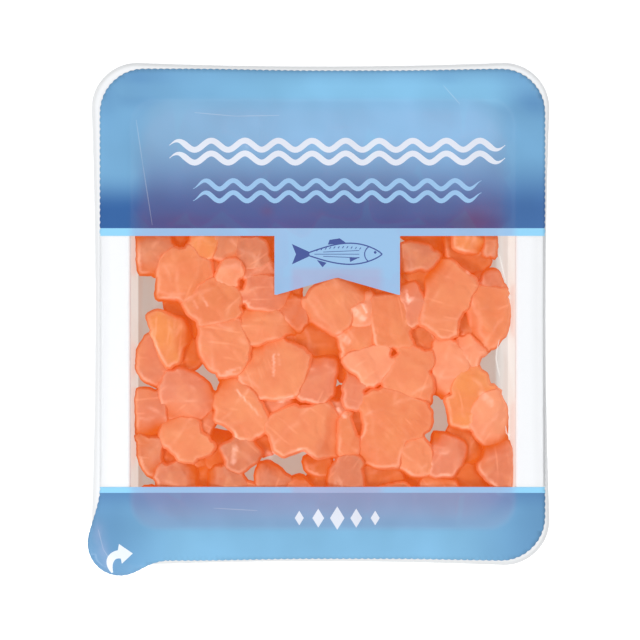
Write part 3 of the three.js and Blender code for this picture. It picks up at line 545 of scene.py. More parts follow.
def make_tray(material):
    """The thermoformed tray: the part's rings, with finer rounds and more rings over the floor."""
    outside, below, lip, above, inside = tray_profile()
    rings = [cavity_ring(*place) for place in outside]
    rings += [flange_ring(*place) for place in below + lip + above]
    rings += [cavity_ring(*place) for place in inside]

    count = len(rings[0])
    last = (len(rings) - 1) * count
    points = [p for ring in rings for p in ring] + [(0.0, 0.0, 0.0), (0.0, 0.0, WALL)]
    pairs = [(i, (i + 1) % count) for i in range(count)]
    faces = []
    for low in range(0, last, count):
        faces += [(low + a, low + b, low + b + count, low + a + count) for a, b in pairs]
    faces += [(last + count, b, a) for a, b in pairs]
    faces += [(last + count + 1, last + a, last + b) for a, b in pairs]
    tray = new_object("tray_shell", points, faces, [material])

    across = np.array(points)[:, 0]
    floor_start = len(rings) - len(FLOOR_RINGS) - ROUND_STEPS - 1
    wall, low = (floor_start - 5) * count, (floor_start + 3) * count
    # Painted glow and shade inside the tray: the walls glow a little more towards the right, and the floor
    # glows less than the walls.
    inner = np.zeros(len(points))
    inner[wall:] = between(0.88, 1.0, smoothstep(-50, 50, across[wall:]))
    inner[low:] = between(FLOOR_GLOW_SHARE, 1.0, smoothstep(*PALE_SIDE_X, across[low:]))
    add_layer(tray, "inner", "FLOAT", inner)
    lip_start = len(outside) + len(below)
    lip_end = lip_start + len(lip) - 1
    # Painted shade on the turned-down lip, fading over the flange rings next to it.
    edge = np.zeros(len(points))
    edge[lip_start * count : lip_end * count] = 1.0
    for step, share in enumerate(LIP_SHADE_FADE, lip_end):
        edge[step * count : (step + 1) * count] = share
    add_layer(tray, "edge", "FLOAT", edge)
    return tray


# ---- Salmon ----

TONES = {
    "orange": srgb(184, 126, 90),
    "pale": srgb(187, 133, 99),
    "cream": srgb(199, 151, 121),
    "pink": srgb(167, 116, 94),
    "rose": srgb(176, 125, 103),
    "amber": srgb(190, 136, 84),
    "shade": srgb(150, 113, 92),
    "deep_shade": srgb(156, 94, 57),
}
RIM_HIGHLIGHT_TONE = srgb(236, 202, 180)
EDGE_SHADE_TONE = srgb(180, 110, 72)
HEM_LIGHT_TONE = srgb(226, 170, 136)
DEEP_SHADE_TONE = srgb(150, 74, 10)
FAT_AND_GLINT_TONE = srgb(255, 236, 222)


def read_outline(text):
    """Points from a text of x,y pairs."""
    return np.array([[float(number) for number in pair.split(",")] for pair in text.split()])


def hidden_outlines():
    """Chunks under the printed bands: rows of uneven four-sided outlines, as in the part."""
    random = seeded(HIDDEN_SEED)

    def shake(size):
        return (random() * 2 - 1) * size

    count = round(2 * HIDDEN_HALF_SPAN / HIDDEN_PITCH) + 1
    chunks = []
    for row_y in HIDDEN_ROWS_Y:
        for i in range(count):
            x = between(-HIDDEN_HALF_SPAN, HIDDEN_HALF_SPAN, i / (count - 1)) + shake(HIDDEN_SHAKE)
            y = row_y + shake(HIDDEN_SHAKE)
            half_x = between(*HIDDEN_LENGTH, random()) / 2
            half_y = between(*HIDDEN_WIDTH, random()) / 2
            turn = math.radians(random() * 180)
            cos, sin = math.cos(turn), math.sin(turn)
            top = between(*HIDDEN_TOP, random())
            outline = []
            for sign_x, sign_y in ((-1, -1), (1, -1), (1, 1), (-1, 1)):
                u = half_x * (sign_x + shake(CORNER_PUSH))
                v = half_y * (sign_y + shake(CORNER_PUSH))
                outline.append((x + u * cos - v * sin, y + u * sin + v * cos))
            chunks.append(("orange", top, np.array(outline)))
    return chunks


def cut_corners(line):
    """Cuts the corners of a closed outline, so that they turn softly."""
    ahead = np.roll(line, -1, axis=0)
    pair = [line * (1 - CORNER_CUT) + ahead * CORNER_CUT, line * CORNER_CUT + ahead * (1 - CORNER_CUT)]
    return np.stack(pair, axis=1).reshape(-1, 2)


def outward_normals(line):
    """Directions that point out of a closed anticlockwise outline."""
    along = np.roll(line, -1, axis=0) - np.roll(line, 1, axis=0)
    outward = np.stack([along[:, 1], -along[:, 0]], axis=1)
    return outward / np.maximum(np.linalg.norm(outward, axis=1, keepdims=True), 1e-9)


def signed_area(line):
    ahead = np.roll(line, -1, axis=0)
    return (line[:, 0] * ahead[:, 1] - line[:, 1] * ahead[:, 0]).sum() / 2


def distance_to(outline, points):
    """How far each point lies from a closed outline."""
    ahead = np.roll(outline, -1, axis=0) - outline
    gap = points[:, None] - outline[None]
    share = np.clip((gap * ahead).sum(2) / np.maximum((ahead**2).sum(1), 1e-9), 0, 1)
    return np.linalg.norm(gap - share[..., None] * ahead, axis=2).min(1)


def uneven(points, scale, seed):
    """Smooth noise from -1 to 1 at points in millimetres."""
    return np.array([noise.noise(Vector(p).to_3d() * scale + seed) for p in points.tolist()])


def rough(points, layers, seed):
    """Layers of smooth noise, each given as its scale and its height."""
    return sum(uneven(points, scale, seed) * height for scale, height in layers)


def cut_sheet(points, edges, kind, merge):
    """Points and faces of a flat sheet that is cut along edges."""
    made = geometry.delaunay_2d_cdt([Vector(p) for p in points], edges, [], kind, merge)
    triangles = np.array([tuple(face) for face in made[2] if len(face) == 3])
    return np.array([tuple(p) for p in made[0]]), triangles


def triangulate(outline, inner):
    """Triangles inside a closed outline, through the points within it."""
    edges = [(i, (i + 1) % len(outline)) for i in range(len(outline))]
    return cut_sheet(np.vstack([outline, inner]).tolist(), edges, 1, 1e-6)


def even_outline(outline):
    """The outline with soft corners and even steps, counter-clockwise."""
    if signed_area(outline) < 0:
        outline = outline[::-1]
    return resample(cut_corners(outline), CHUNK_SPACING)[0]


def grown_outlines(lines):
    """Grows chunks that nearly touch until they meet, so that no gutter runs between them."""
    grown = []
    for i, line in enumerate(lines):
        others = np.vstack([other for j, other in enumerate(lines) if j != i])
        gap = np.linalg.norm(line[:, None] - others[None], axis=2).min(1)
        gap = (np.roll(gap, 1) + gap * 2 + np.roll(gap, -1)) / 4
        swell = CHUNK_SWELL + (gap / 2 + MEET_OVERLAP - CHUNK_SWELL) * smoothstep(*MEET_GAP[::-1], gap)
        grown.append(line + outward_normals(line) * swell[:, None])
    return grown


def fill_points(line, normals, own):
    """Points inside a chunk's outline: two rows on its shoulder and a loose grid within."""
    low, high = line.min(0), line.max(0)
    xs = np.arange(low[0], high[0], CHUNK_SPACING)
    ys = np.arange(low[1], high[1], CHUNK_SPACING * ROW_SHARE)
    grid = np.array([(x + (row % 2) * CHUNK_SPACING / 2, y) for row, y in enumerate(ys) for x in xs])
    grid += own.uniform(-GRID_SHAKE, GRID_SHAKE, grid.shape)
    insets, clear = zip(*SHOULDERS)
    shoulders = np.vstack([line - normals * inset for inset in insets])
    far = distance_to(line, shoulders) > np.repeat(clear, len(line))
    inner = np.vstack([shoulders[far], grid[distance_to(line, grid) > GRID_CLEAR]])
    return inner[inside_outline(line, inner)]


def top_relief(flat, distance, top, own, seed):
    """Heights of a chunk's top with its facets and small steps, and how much painted highlight lies along
    its ridges.
    """
    around = flat - flat.mean(0)
    reach = np.abs(around).max()

    def past_line(reaches, scale, wave, place, turn):
        """How far each point lies past a wavy line that crosses the chunk at a random angle."""
        angle = own.uniform(0, 2 * math.pi)
        over = around @ (math.cos(angle), math.sin(angle)) - reach * own.uniform(*reaches)
        return over + uneven(flat, scale, seed + Vector((place, 0, angle * turn))) * wave

    radius = min(own.uniform(*TOP_ROUND), 0.9 * distance.max())
    z = np.full(len(flat), float(top))
    z -= radius - np.sqrt(np.maximum(radius**2 - (radius - np.minimum(distance, radius)) ** 2, 0))
    z += around @ own.uniform(-TOP_LEAN, TOP_LEAN, 2)
    ridge_highlight = np.zeros(len(flat))
    for _ in range(own.integers(*FACET_COUNT)):
        over = past_line(*FACET_LINE)
        z -= np.maximum(over, 0) * own.uniform(*FACET_SLOPE)
        ridge_highlight = np.maximum(ridge_highlight, own.uniform(0, 0.55) * np.exp(-((over / RIDGE_HIGHLIGHT_WIDTH) ** 2)))
    for _ in range(own.integers(*STEP_COUNT)):
        over = past_line(*STEP_LINE)
        z -= own.uniform(*STEP_DROP) * smoothstep(0.0, STEP_RUN, over)
    z += rough(flat, TOP_NOISE, seed)
    return np.minimum(z, TOP_LIMIT), ridge_highlight


def chunk_sides(line, normals, edge_z, start):
    """Rings of points down a chunk's sides, with the faces between them and the chunk's base."""
    count = len(line)
    before = np.arange(count)
    points, faces = [], []
    for step, (share, inset) in enumerate(SKIRT):
        points.append(np.column_stack([line - normals * inset, edge_z + (CHUNK_FOOT - edge_z) * share]))
        now = start + step * count + np.arange(count)
        faces.append(np.stack([before, now, np.roll(now, -1)], axis=1))
        faces.append(np.stack([before, np.roll(now, -1), np.roll(before, -1)], axis=1))
        before = now
    _, base = triangulate(line, np.zeros((0, 2)))
    faces.append(before[base][:, ::-1])
    return np.vstack(points), np.vstack(faces)


def top_shares(flat, distance, ridge_highlight, own, seed):
    """How much painted highlight rim, painted edge shade and painted light hem each point of a chunk's top
    has, as three columns.
    """
    around = flat - flat.mean(0)
    outward = around / np.maximum(np.linalg.norm(around, axis=1, keepdims=True), 1e-9)
    lit = between(0.15, 1.0, np.maximum(outward @ LIT_SIDE, 0))
    lit *= np.exp(-(((distance - RIM_HIGHLIGHT_PLACE[0]) / RIM_HIGHLIGHT_PLACE[1]) ** 2)) * np.clip(
        0.7 + 0.9 * uneven(flat, 0.3, seed * 4), 0, 1
    )
    ridge_highlight = ridge_highlight * np.clip(0.5 + 1.4 * uneven(flat, 0.28, seed * 2), 0, 1)
    rim = np.maximum(lit * own.uniform(0.5, 1.15), ridge_highlight)
    broken = np.clip(0.3 + 1.5 * uneven(flat, 0.17, seed * 3), 0, 1)
    # Painted shade at the edge, on the side away from the key light.
    edge = np.exp(-((distance / EDGE_SHADE_REACH) ** 2)) * (1 - lit) * broken
    return np.column_stack([rim, edge, np.exp(-((distance / HEM_LIGHT_REACH) ** 2))])


def make_chunk(line, top, number):
    """One soft-edged piece of fish with a cut top: points, faces and shares of painted highlight rim,
    painted edge shade and painted light hem.
    """
    own = np.random.default_rng(CHUNK_SEED + number)
    seed = Vector((number * 7.31, number * 3.17, 0.5))
    line = line + outward_normals(line) * rough(line, OUTLINE_NOISE, seed)[:, None]
    normals = outward_normals(line)
    flat, triangles = triangulate(line, fill_points(line, normals, own))
    distance = distance_to(line, flat)
    distance[: len(line)] = 0
    z, ridge_highlight = top_relief(flat, distance, top, own, seed)
    sides, side_faces = chunk_sides(line, normals, z[: len(line)], len(flat))
    points = np.vstack([np.column_stack([flat, z]), sides])
    # The sides take full painted edge shade and painted light hem.
    shares = np.tile((0.0, 1.0, 1.0), (len(points), 1))
    shares[: len(flat)] = top_shares(flat, distance, ridge_highlight, own, seed)
    return points, np.vstack([triangles, side_faces]), shares


def inside_cavity(points):
    """Keeps points inside the tray's walls and above its floor."""
    z = np.maximum(points[:, 2:], WALL + CHUNK_CLEAR)
    lean = WALL_DRAFT * (1 - np.clip((z - FLOOR_RADIUS) / (FLANGE_TOP - FLOOR_RADIUS), 0, 1))
    lean += np.maximum(FLOOR_RADIUS + WALL - z, 0) * 0.8
    limit = np.array(CAVITY_HALF) - lean - CHUNK_CLEAR
    flat = np.clip(points[:, :2], -limit, limit)
    corner = limit - CAVITY_CORNER
    over = np.maximum(np.abs(flat) - corner, 0)
    far = np.hypot(over[:, :1], over[:, 1:])
    pull = np.where(far > CAVITY_CORNER, CAVITY_CORNER / np.maximum(far, 1e-6), 1)
    return np.hstack([np.where(over > 0, np.sign(flat) * (corner + over * pull), flat), z])


def fat_and_glint_share(place):
    """How white each point is under the fat lines and painted glints, which have ragged ends."""
    share = np.zeros(len(place))
    for x0, y0, x1, y1, half_width, strength in FAT_AND_GLINT_FLECKS:
        along = np.array((x1 - x0, y1 - y0))
        gap = place[:, :2] - (x0, y0)
        reach = np.clip(gap @ along / (along @ along), 0, 1)
        distance = np.linalg.norm(gap - reach[:, None] * along, axis=1) / half_width
        share = np.maximum(share, strength * smoothstep(1.3, 0.5, distance))
    near = share > 0
    ragged = np.zeros(len(place))
    ragged[near] = uneven(place[near], 0.9, Vector((4, 1, 7)))
    return share * np.clip(0.8 + ragged, 0, 1) * smoothstep(9, 10.5, place[:, 2])


def chunk_colours(place, tint, shares):
    """A chunk's tint with its painted edge shade, painted light hem and painted highlight rim, then its fat
    lines and painted glints.
    """
    rim, edge, hem_light = shares.T
    colour = blend(blend(tint, EDGE_SHADE_TONE, EDGE_SHADE_SHARE * edge), HEM_LIGHT_TONE, HEM_LIGHT_SHARE * hem_light)
    colour = blend(colour, RIM_HIGHLIGHT_TONE, RIM_HIGHLIGHT_SHARE * rim)
    colour = blend(colour, FAT_AND_GLINT_TONE, fat_and_glint_share(place))
    return np.column_stack([colour, np.ones(len(place))])


def make_salmon(material):
    """All the chunks as one mesh, with each one's tone and its own grain direction on its points."""
    layout = [(tone, top, read_outline(text)) for tone, top, text in CHUNKS]
    layout += [("deep_shade", top, read_outline(text)) for top, text in LOW_CHUNKS]
    layout += hidden_outlines()
    lines = [even_outline(outline) for _, _, outline in layout]
    high, low = lines[: len(CHUNKS)], lines[len(CHUNKS) :]
    lines = grown_outlines(high) + [line + outward_normals(line) * LOW_SWELL for line in low]
    points, faces, tones, grains, depths = [], [], [], [], []
    offset = 0
    for number, ((tone, top, _), line) in enumerate(zip(layout, lines)):
        own = np.random.default_rng(GRAIN_SEED + number)
        place, made, shares = make_chunk(line, top, number)
        place = inside_cavity(place)
        tilt = own.uniform(-GRAIN_TILT, GRAIN_TILT, 2)
        turn = Euler((*tilt, own.uniform(0, 6.28)), "XYZ").to_matrix()
        shift = own.uniform(-GRAIN_SHIFT, GRAIN_SHIFT, 3)
        grains.append((place - place.mean(0)) @ np.array(turn).T + shift)
        tones.append(chunk_colours(place, np.array(TONES[tone]) * own.uniform(*TONE_RANGE), shares))
        # Depth sets the painted shade and glow: low chunk tops get less, and sides get at least the edge's
        # share.
        lying = place[:, 2] > place[:, 2].max() - LOW_TOP_REACH
        share = LOW_TOP_SHARE if number >= len(CHUNKS) else 1.0
        sunk = (DEPTH_FROM - place[:, 2]) * np.where(lying, share, 1.0)
        depths.append(np.maximum(sunk, EDGE_SHADE_DEPTH * shares[:, 1]))
        points.append(place)
        faces.append(made + offset)
        offset += len(place)
    obj = new_object("salmon_chunks", np.concatenate(points), np.concatenate(faces), [material])
    add_layer(obj, "tone", "FLOAT_COLOR", np.concatenate(tones))
    add_layer(obj, "grain", "FLOAT_VECTOR", np.concatenate(grains))
    add_layer(obj, "depth", "FLOAT", np.concatenate(depths))
    return obj


# ---- Film shape ----


def bezier(start, first, second, end, steps):
    """Points of a curve with two handles, without its start."""
    points = []
    for i in range(1, steps + 1):
        t = i / steps
        weights = ((1 - t) ** 3, 3 * t * (1 - t) ** 2, 3 * t * t * (1 - t), t**3)
        parts = [(w * x, w * y) for w, (x, y) in zip(weights, (start, first, second, end))]
        points.append(tuple(sum(part) for part in zip(*parts)))
    return points


def arc(centre, radius, start, end, steps):
    """Points round part of a circle, from one angle to the other."""
    points = []
    for i in range(steps + 1):
        angle = math.radians(between(start, end, i / steps))
        points.append((centre[0] + radius * math.cos(angle), centre[1] + radius * math.sin(angle)))
    return points


def film_outline():
    """The film's cut edge without its teeth, anticlockwise, as in the part's source."""
    left = FILM_SHIFT[0] - FILM_HALF[0]
    right = FILM_SHIFT[0] + FILM_HALF[0]
    low = FILM_SHIFT[1] - FILM_HALF[1]
    top = FILM_SHIFT[1] + FILM_HALF[1]
    corner = FILM_CORNER
    start = (TAB_BOTTOM_RUN_X, low)
    line = [start, (right - corner, low)]
    line += arc((right - corner, low + corner), corner, -90, 0, 16)[1:]
    line += arc((right - corner, top - corner), corner, 0, 90, 16)
    line += arc((left + corner, top - corner), corner, 90, 180, 16)
    line.append((left, TAB_LEFT_RUN_Y))
    lobe = arc(TAB_CENTRE, TAB_RADIUS, 170, 290, 24)
    first, last = lobe[0], lobe[-1]
    handle = (first[0] + 0.8, first[1] + 4)
    line += bezier((left, TAB_LEFT_RUN_Y), (left, TAB_LEFT_RUN_Y - 4), handle, first, 12)
    line += lobe[1:]
    line += bezier(last, (last[0] + 3, last[1] + 1), (TAB_BOTTOM_RUN_X - 5, low), start, 12)[:-1]
    line, _ = resample(np.array(line), 1.0)
    line[:, 1] -= np.sign(line[:, 1]) * FILM_BOW * smoothstep(46, 10, np.abs(line[:, 0] - 8))
    return line


def lengths_along(line):
    """How far along an open line each of its points lies."""
    return np.concatenate([[0], np.cumsum(np.linalg.norm(np.diff(line, axis=0), axis=1))])


def points_at(line, run, places):
    """Points of a line at places along it, where run says how far along its own points lie."""
    return np.column_stack([np.interp(places, run, line[:, axis]) for axis in (0, 1)])


def resample(line, spacing):
    """Points an even distance apart round a closed line, and how far along each lies."""
    closed = np.vstack([line, line[:1]])
    run = lengths_along(closed)
    count = int(round(run[-1] / spacing))
    along = np.arange(count) * run[-1] / count
    return points_at(closed, run, along), along


def toothed(line):
    """The cut edge with its row of small rounded teeth."""
    points, along = resample(line, TOOTH_PITCH / 6)
    teeth = np.abs(np.sin(np.pi * along / TOOTH_PITCH)) - 0.6
    off_tab = smoothstep(TAB_RADIUS, TAB_RADIUS + 6, np.hypot(*(points - TAB_CENTRE).T))
    return points + outward_normals(points) * (teeth * between(0.35, 1.0, off_tab))[:, None] * TOOTH_DEPTH


def rounded_distance(x, y, half_x, half_y, radius):
    """Signed distance to a rounded rectangle, negative inside."""
    qx = np.abs(x) - half_x + radius
    qy = np.abs(y) - half_y + radius
    return np.hypot(np.maximum(qx, 0), np.maximum(qy, 0)) + np.minimum(np.maximum(qx, qy), 0) - radius


GRID_STEP = 0.5
GRID_X = np.arange(-67, 63, GRID_STEP)
GRID_Y = np.arange(-74, 70, GRID_STEP)


def widest(grid):
    """Each cell's highest neighbour, so that what is laid over the grid stays clear of it."""
    for axis in (0, 1):
        grid = np.maximum(grid, np.maximum(np.roll(grid, 1, axis), np.roll(grid, -1, axis)))
    return grid


def mean_around(grid):
    """The mean of each cell's four neighbours."""
    return sum(np.roll(grid, step, axis) for axis in (0, 1) for step in (1, -1)) / 4


def draped_heights(cubes):
    """The film's height on a grid: fixed on the flange, drawn down by vacuum, held up by the cubes."""
    tree = BVHTree.FromPolygons(
        [tuple(v.co) for v in cubes.data.vertices], [tuple(p.vertices) for p in cubes.data.polygons]
    )
    xs, ys = np.meshgrid(GRID_X, GRID_Y, indexing="ij")
    inside = rounded_distance(xs, ys, *CAVITY_HALF, CAVITY_CORNER) < 0.4
    below = np.full(xs.shape, WALL + 0.3)
    for i, j in np.argwhere(inside):
        hit = tree.ray_cast(Vector((xs[i, j] * MM, ys[i, j] * MM, 0.03)), Vector((0, 0, -1)))
        if hit[0] is not None:
            below[i, j] = max(below[i, j], hit[0].z / MM + DRAPE_CLEAR)
    below = widest(below)
    flat = FLANGE_TOP + 0.05
    film = np.where(inside, np.maximum(below, flat - DRAPE_SAG), flat)
    for _ in range(DRAPE_ROUNDS):
        film = np.where(inside, np.maximum(mean_around(film) - FILM_PULL, below), flat)
    contact = np.where(inside, np.exp(-np.maximum(film - below, 0) / 0.5), 1.0)
    for _ in range(CONTACT_ROUNDS):
        contact = mean_around(contact)
    outer = rounded_distance(xs - FLANGE_SHIFT, ys, *FLANGE_HALF, FLANGE_CORNER)
    return film - EDGE_DROOP * smoothstep(0.6, 8, outer), contact


def sample(grid, x, y):
    """Bilinear reading of a grid."""
    u = np.clip((x - GRID_X[0]) / GRID_STEP, 0, len(GRID_X) - 1.001)
    v = np.clip((y - GRID_Y[0]) / GRID_STEP, 0, len(GRID_Y) - 1.001)
    i, j = u.astype(int), v.astype(int)
    fu, fv = u - i, v - j
    low = grid[i, j] * (1 - fv) + grid[i, j + 1] * fv
    high = grid[i + 1, j] * (1 - fv) + grid[i + 1, j + 1] * fv
    return low * (1 - fu) + high * fu


# ---- Printed shapes and colours ----


def ribbon(path, width):
    """A closed outline round an open path of points."""
    path = np.array(path)
    ahead = np.gradient(path, axis=0)
    side = np.stack([-ahead[:, 1], ahead[:, 0]], axis=1)
    side /= np.linalg.norm(side, axis=1, keepdims=True)
    wide = np.broadcast_to(np.asarray(width, dtype=float), (len(path),))[:, None] / 2
    return np.vstack([path + side * wide, (path - side * wide)[::-1]])


def fine_path(line):
    """Points every half millimetre or so along an open line."""
    line = np.array(line)
    run = lengths_along(line)
    return points_at(line, run, np.linspace(0, run[-1], int(run[-1] / 0.5) + 2))


def wave_line(centre_x, centre_y, half_span, height, pitch, width):
    """A wave ribbon that tapers at both ends."""
    x = np.linspace(-half_span, half_span, int(half_span * 2 / 0.45))
    y = height * np.sin(2 * math.pi * x / pitch)
    taper = np.clip((half_span - np.abs(x)) / 4.0, 0.12, 1)
    return ribbon(np.stack([centre_x + x, centre_y + y], axis=1), width * taper)


def print_shapes():
    """The printed figures and the painted highlight lines as (ink name, outline), later ones lying over
    earlier ones.
    """
    shapes = []
    for ink, centre_y, rises, form in WAVES:
        for rise in rises:
            shapes.append((ink, wave_line(PRINT_CENTRE_X, centre_y + rise, *form)))
    for number in range(-2, 3):
        x = PRINT_CENTRE_X + number * LOZENGE_PITCH
        half = 3.2 - 0.6 * abs(number)
        corners = np.array(((-LOZENGE_SLIM, 0), (0, -1), (LOZENGE_SLIM, 0), (0, 1)))
        shapes.append(("white", (x, LOZENGE_Y) + half * corners))
    shapes += [("navy", outline) for outline in fish_outlines(*FISH_PLACE)]
    shapes.append(("bright", arrow_outline()))
    step = np.arange(11)
    for x0, y0, x1, y1 in CREASES:
        path = np.column_stack([between(x0, x1, step / 10), between(y0, y1, step / 10)])
        shapes.append(("crease", ribbon(path, 0.13 + 0.12 * np.sin(math.pi * step / 10))))
    for line in WALL_GLINT_LINES:
        path = fine_path(line)
        shapes.append(("wet", ribbon(path, 0.1 + 0.3 * np.sin(math.pi * np.arange(len(path)) / len(path)))))
    return shapes


def fish_outlines(x, y):
    """A plain line fish: body, tail, fins, gill, eye, side lines and short scale strokes."""
    t = np.linspace(0, 1, 28)
    belly = FISH_HEIGHT / 2 * np.sin(math.pi * t**0.8)
    nose_x = x - 11.0
    tail_x = nose_x + FISH_LENGTH
    body = (belly, -belly * 0.92)
    outlines = [ribbon(np.column_stack([nose_x + FISH_LENGTH * t, y + rise]), 0.32) for rise in body]
    outlines += [
        [
            (tail_x - 1.2, y + 0.55), (tail_x + 3.1, y + 2.5), (tail_x + 2.1, y), (tail_x + 3.1, y - 2.5),
            (tail_x - 1.2, y - 0.5),
        ],
        [(x - 2.4, y + 2.6), (x - 0.6, y + 3.9), (x + 1.9, y + 3.5), (x + 2.3, y + 2.35)],
        [(x + 2.6, y - 2.1), (x + 3.6, y - 3.2), (x + 5.0, y - 1.4)],
        [(x - 5.6, y - 0.7), (x - 3.2, y - 1.9), (x - 3.0, y - 0.9)],
        ribbon(arc((x - 8.8, y), 2.1, -58, 58, 10), 0.26),
        arc((x - 9.3, y + 0.45), 0.34, 0, 330, 10),
    ]
    for row in (-0.9, 0.0, 0.9):
        end = x + 5.6 - abs(row) * 2.4
        outlines.append(
            ribbon([(between(x - 5.4, end, i / 14), y + row * (1 - 0.03 * i)) for i in range(15)], 0.16)
        )
    for number in range(11):
        start = x - 5.8 + number * 1.05
        rise = 1.95 - 0.02 * (number - 4) ** 2
        outlines.append(ribbon([(start + 0.12 * i, y + rise - 0.16 * i) for i in range(4)], 0.2))
    centre = np.array((x, y))
    return [centre + (np.array(line) - centre) * (-FISH_SCALE, FISH_SCALE) for line in outlines]


def arrow_outline():
    """The curved peel arrow on the tab, from its pointed tail to its head."""
    outer = bezier((-57.9, -71.0), (-60.3, -68.6), (-59.6, -65.4), (-56.2, -64.7), 12)
    head = [(-55.9, -63.0), (-52.1, -65.6), (-55.1, -68.4), (-55.4, -67.0)]
    inner = bezier((-55.4, -67.0), (-57.2, -66.6), (-58.0, -68.2), (-57.5, -70.8), 10)
    return np.array([(-57.9, -71.0)] + outer + head + inner)


def inside_outline(outline, points):
    """Which points lie inside a closed outline, by counting crossings."""
    inside = np.zeros(len(points), bool)
    low, high = outline.min(0), outline.max(0)
    near = np.flatnonzero(((points >= low) & (points <= high)).all(1))
    x, y = points[near, 0], points[near, 1]
    odd = np.zeros(len(near), bool)
    ahead = np.roll(outline, -1, axis=0)
    for (ax, ay), (bx, by) in zip(outline, ahead):
        if ay == by:
            continue
        crosses = (ay > y) != (by > y)
        odd ^= crosses & (x < (bx - ax) * (y - ay) / (by - ay) + ax)
    inside[near] = odd
    return inside


def pennant_outline():
    """The pennant, with a notch between its two tips."""
    left, right = PRINT_CENTRE_X - PENNANT_HALF, PRINT_CENTRE_X + PENNANT_HALF
    return np.array([
        (left, STRIP_TOP_Y), (left, PENNANT_LOW_Y), (PRINT_CENTRE_X, PENNANT_NOTCH_Y),
        (right, PENNANT_LOW_Y), (right, STRIP_TOP_Y),
    ])


def grid_points(xs, ys):
    """Every crossing of a grid of lines."""
    return np.array([(x, y) for x in xs for y in ys])


def film_mesh_plan():
    """The flat film cut into triangles along its edge and every printed line: also gives the shapes."""
    edge = toothed(film_outline())
    shapes = print_shapes()
    loops = [edge, resample(pennant_outline(), 0.8)[0]] + [outline for _, outline in shapes]
    points = []
    edges = []
    for loop in loops:
        start, count = len(points), len(loop)
        points.extend(map(tuple, loop))
        edges.extend((start + i, start + (i + 1) % count) for i in range(count))
    for level in PRINT_LEVELS:
        start = len(points)
        run = np.linspace(FILM_SHIFT[0] - FILM_HALF[0] - 2, FILM_SHIFT[0] + FILM_HALF[0] + 2, 180)
        points.extend((x, level) for x in run)
        edges.extend((start + i, start + i + 1) for i in range(len(run) - 1))
    marks = np.vstack([resample(loop, MARK_SPACING)[0] for loop in loops])
    tree = kdtree.KDTree(len(marks))
    for i, (x, y) in enumerate(marks):
        tree.insert((x, y, 0), i)
    tree.balance()
    fine, coarse = FILM_SPACING
    half_x, half_y = CAVITY_HALF[0] + FINE_MARGIN, CAVITY_HALF[1] + FINE_MARGIN
    inner = grid_points(
        np.arange(-half_x, half_x + fine / 2, fine), np.arange(-half_y, half_y + fine / 2, fine)
    )
    outer = grid_points(np.arange(-65, 62, coarse), np.arange(-72, 68, coarse))
    outer = outer[(np.abs(outer) > (half_x + 0.6, half_y + 0.6)).any(1)]
    fill = np.vstack([inner, outer[inside_outline(film_outline(), outer)]])
    fill = fill[np.abs(fill[:, 1:] - PRINT_LEVELS).min(1) > LEVEL_CLEAR]
    points.extend((x, y) for x, y in fill.tolist() if tree.find((x, y, 0))[2] > MARK_CLEAR)
    flat, triangles = cut_sheet(points, edges, 0, 1e-5)
    return flat, triangles[inside_outline(edge, flat[triangles].mean(1))], shapes


INK = {
    "white": (*srgb(222, 231, 243), 0.93),
    "bright": (*srgb(234, 241, 248), 0.95),
    "sky": (*srgb(150, 194, 232), 0.95),
    # Colour of the painted highlights along the right wall.
    "wet": (*srgb(255, 248, 243), 0.48),
    "navy": (*srgb(62, 84, 150), 0.95),
}
CREASE_HIGHLIGHT_TONE, HAZE_REFLECTION_TONE = srgb(250, 250, 252), srgb(240, 236, 234)
HAZE_REFLECTION = 0.004

# Print colours: over the white flange, then over the cavity, where they look duller.
LIGHT_BLUE, DARK_BLUE, DARK_RIGHT = srgb(116, 167, 206), srgb(58, 102, 162), srgb(70, 110, 165)
HIGHLIGHT_BLUE, CORNER_SHADE_BLUE = srgb(132, 190, 227), srgb(92, 140, 188)
LIGHT_OVER_CUBES, DARK_OVER_CUBES = srgb(128, 176, 213), srgb(68, 96, 150)
LIGHT_OVER_RIGHT, DARK_OVER_RIGHT = srgb(137, 189, 229), srgb(73, 103, 157)
LOW_DARK, LOW_BLUE_SHADED_END, LOW_BLUE = srgb(92, 135, 180), srgb(105, 153, 194), srgb(128, 181, 217)
LOW_OVER_TOP, LOW_OVER_SHADED_END, LOW_OVER_CUBES = srgb(133, 152, 190), srgb(113, 138, 182), srgb(130, 167, 205)
DARK_AT_STRIP = srgb(68, 86, 142)
STRIP_BLUE, STRIP_OVER_CUBES = srgb(148, 211, 245), srgb(149, 191, 229)
TINT_RED, LILAC = srgb(118, 60, 92), srgb(164, 176, 212)


def spread(x, y, spots):
    """How much of a soft spot lies on each point; each spot is x, y, reach in x and y, strength."""
    share = np.zeros(len(x))
    for spot_x, spot_y, reach_x, reach_y, strength in spots:
        near = np.exp(-(((x - spot_x) / reach_x) ** 2) - ((y - spot_y) / reach_y) ** 2)
        share = np.maximum(share, strength * near)
    return share


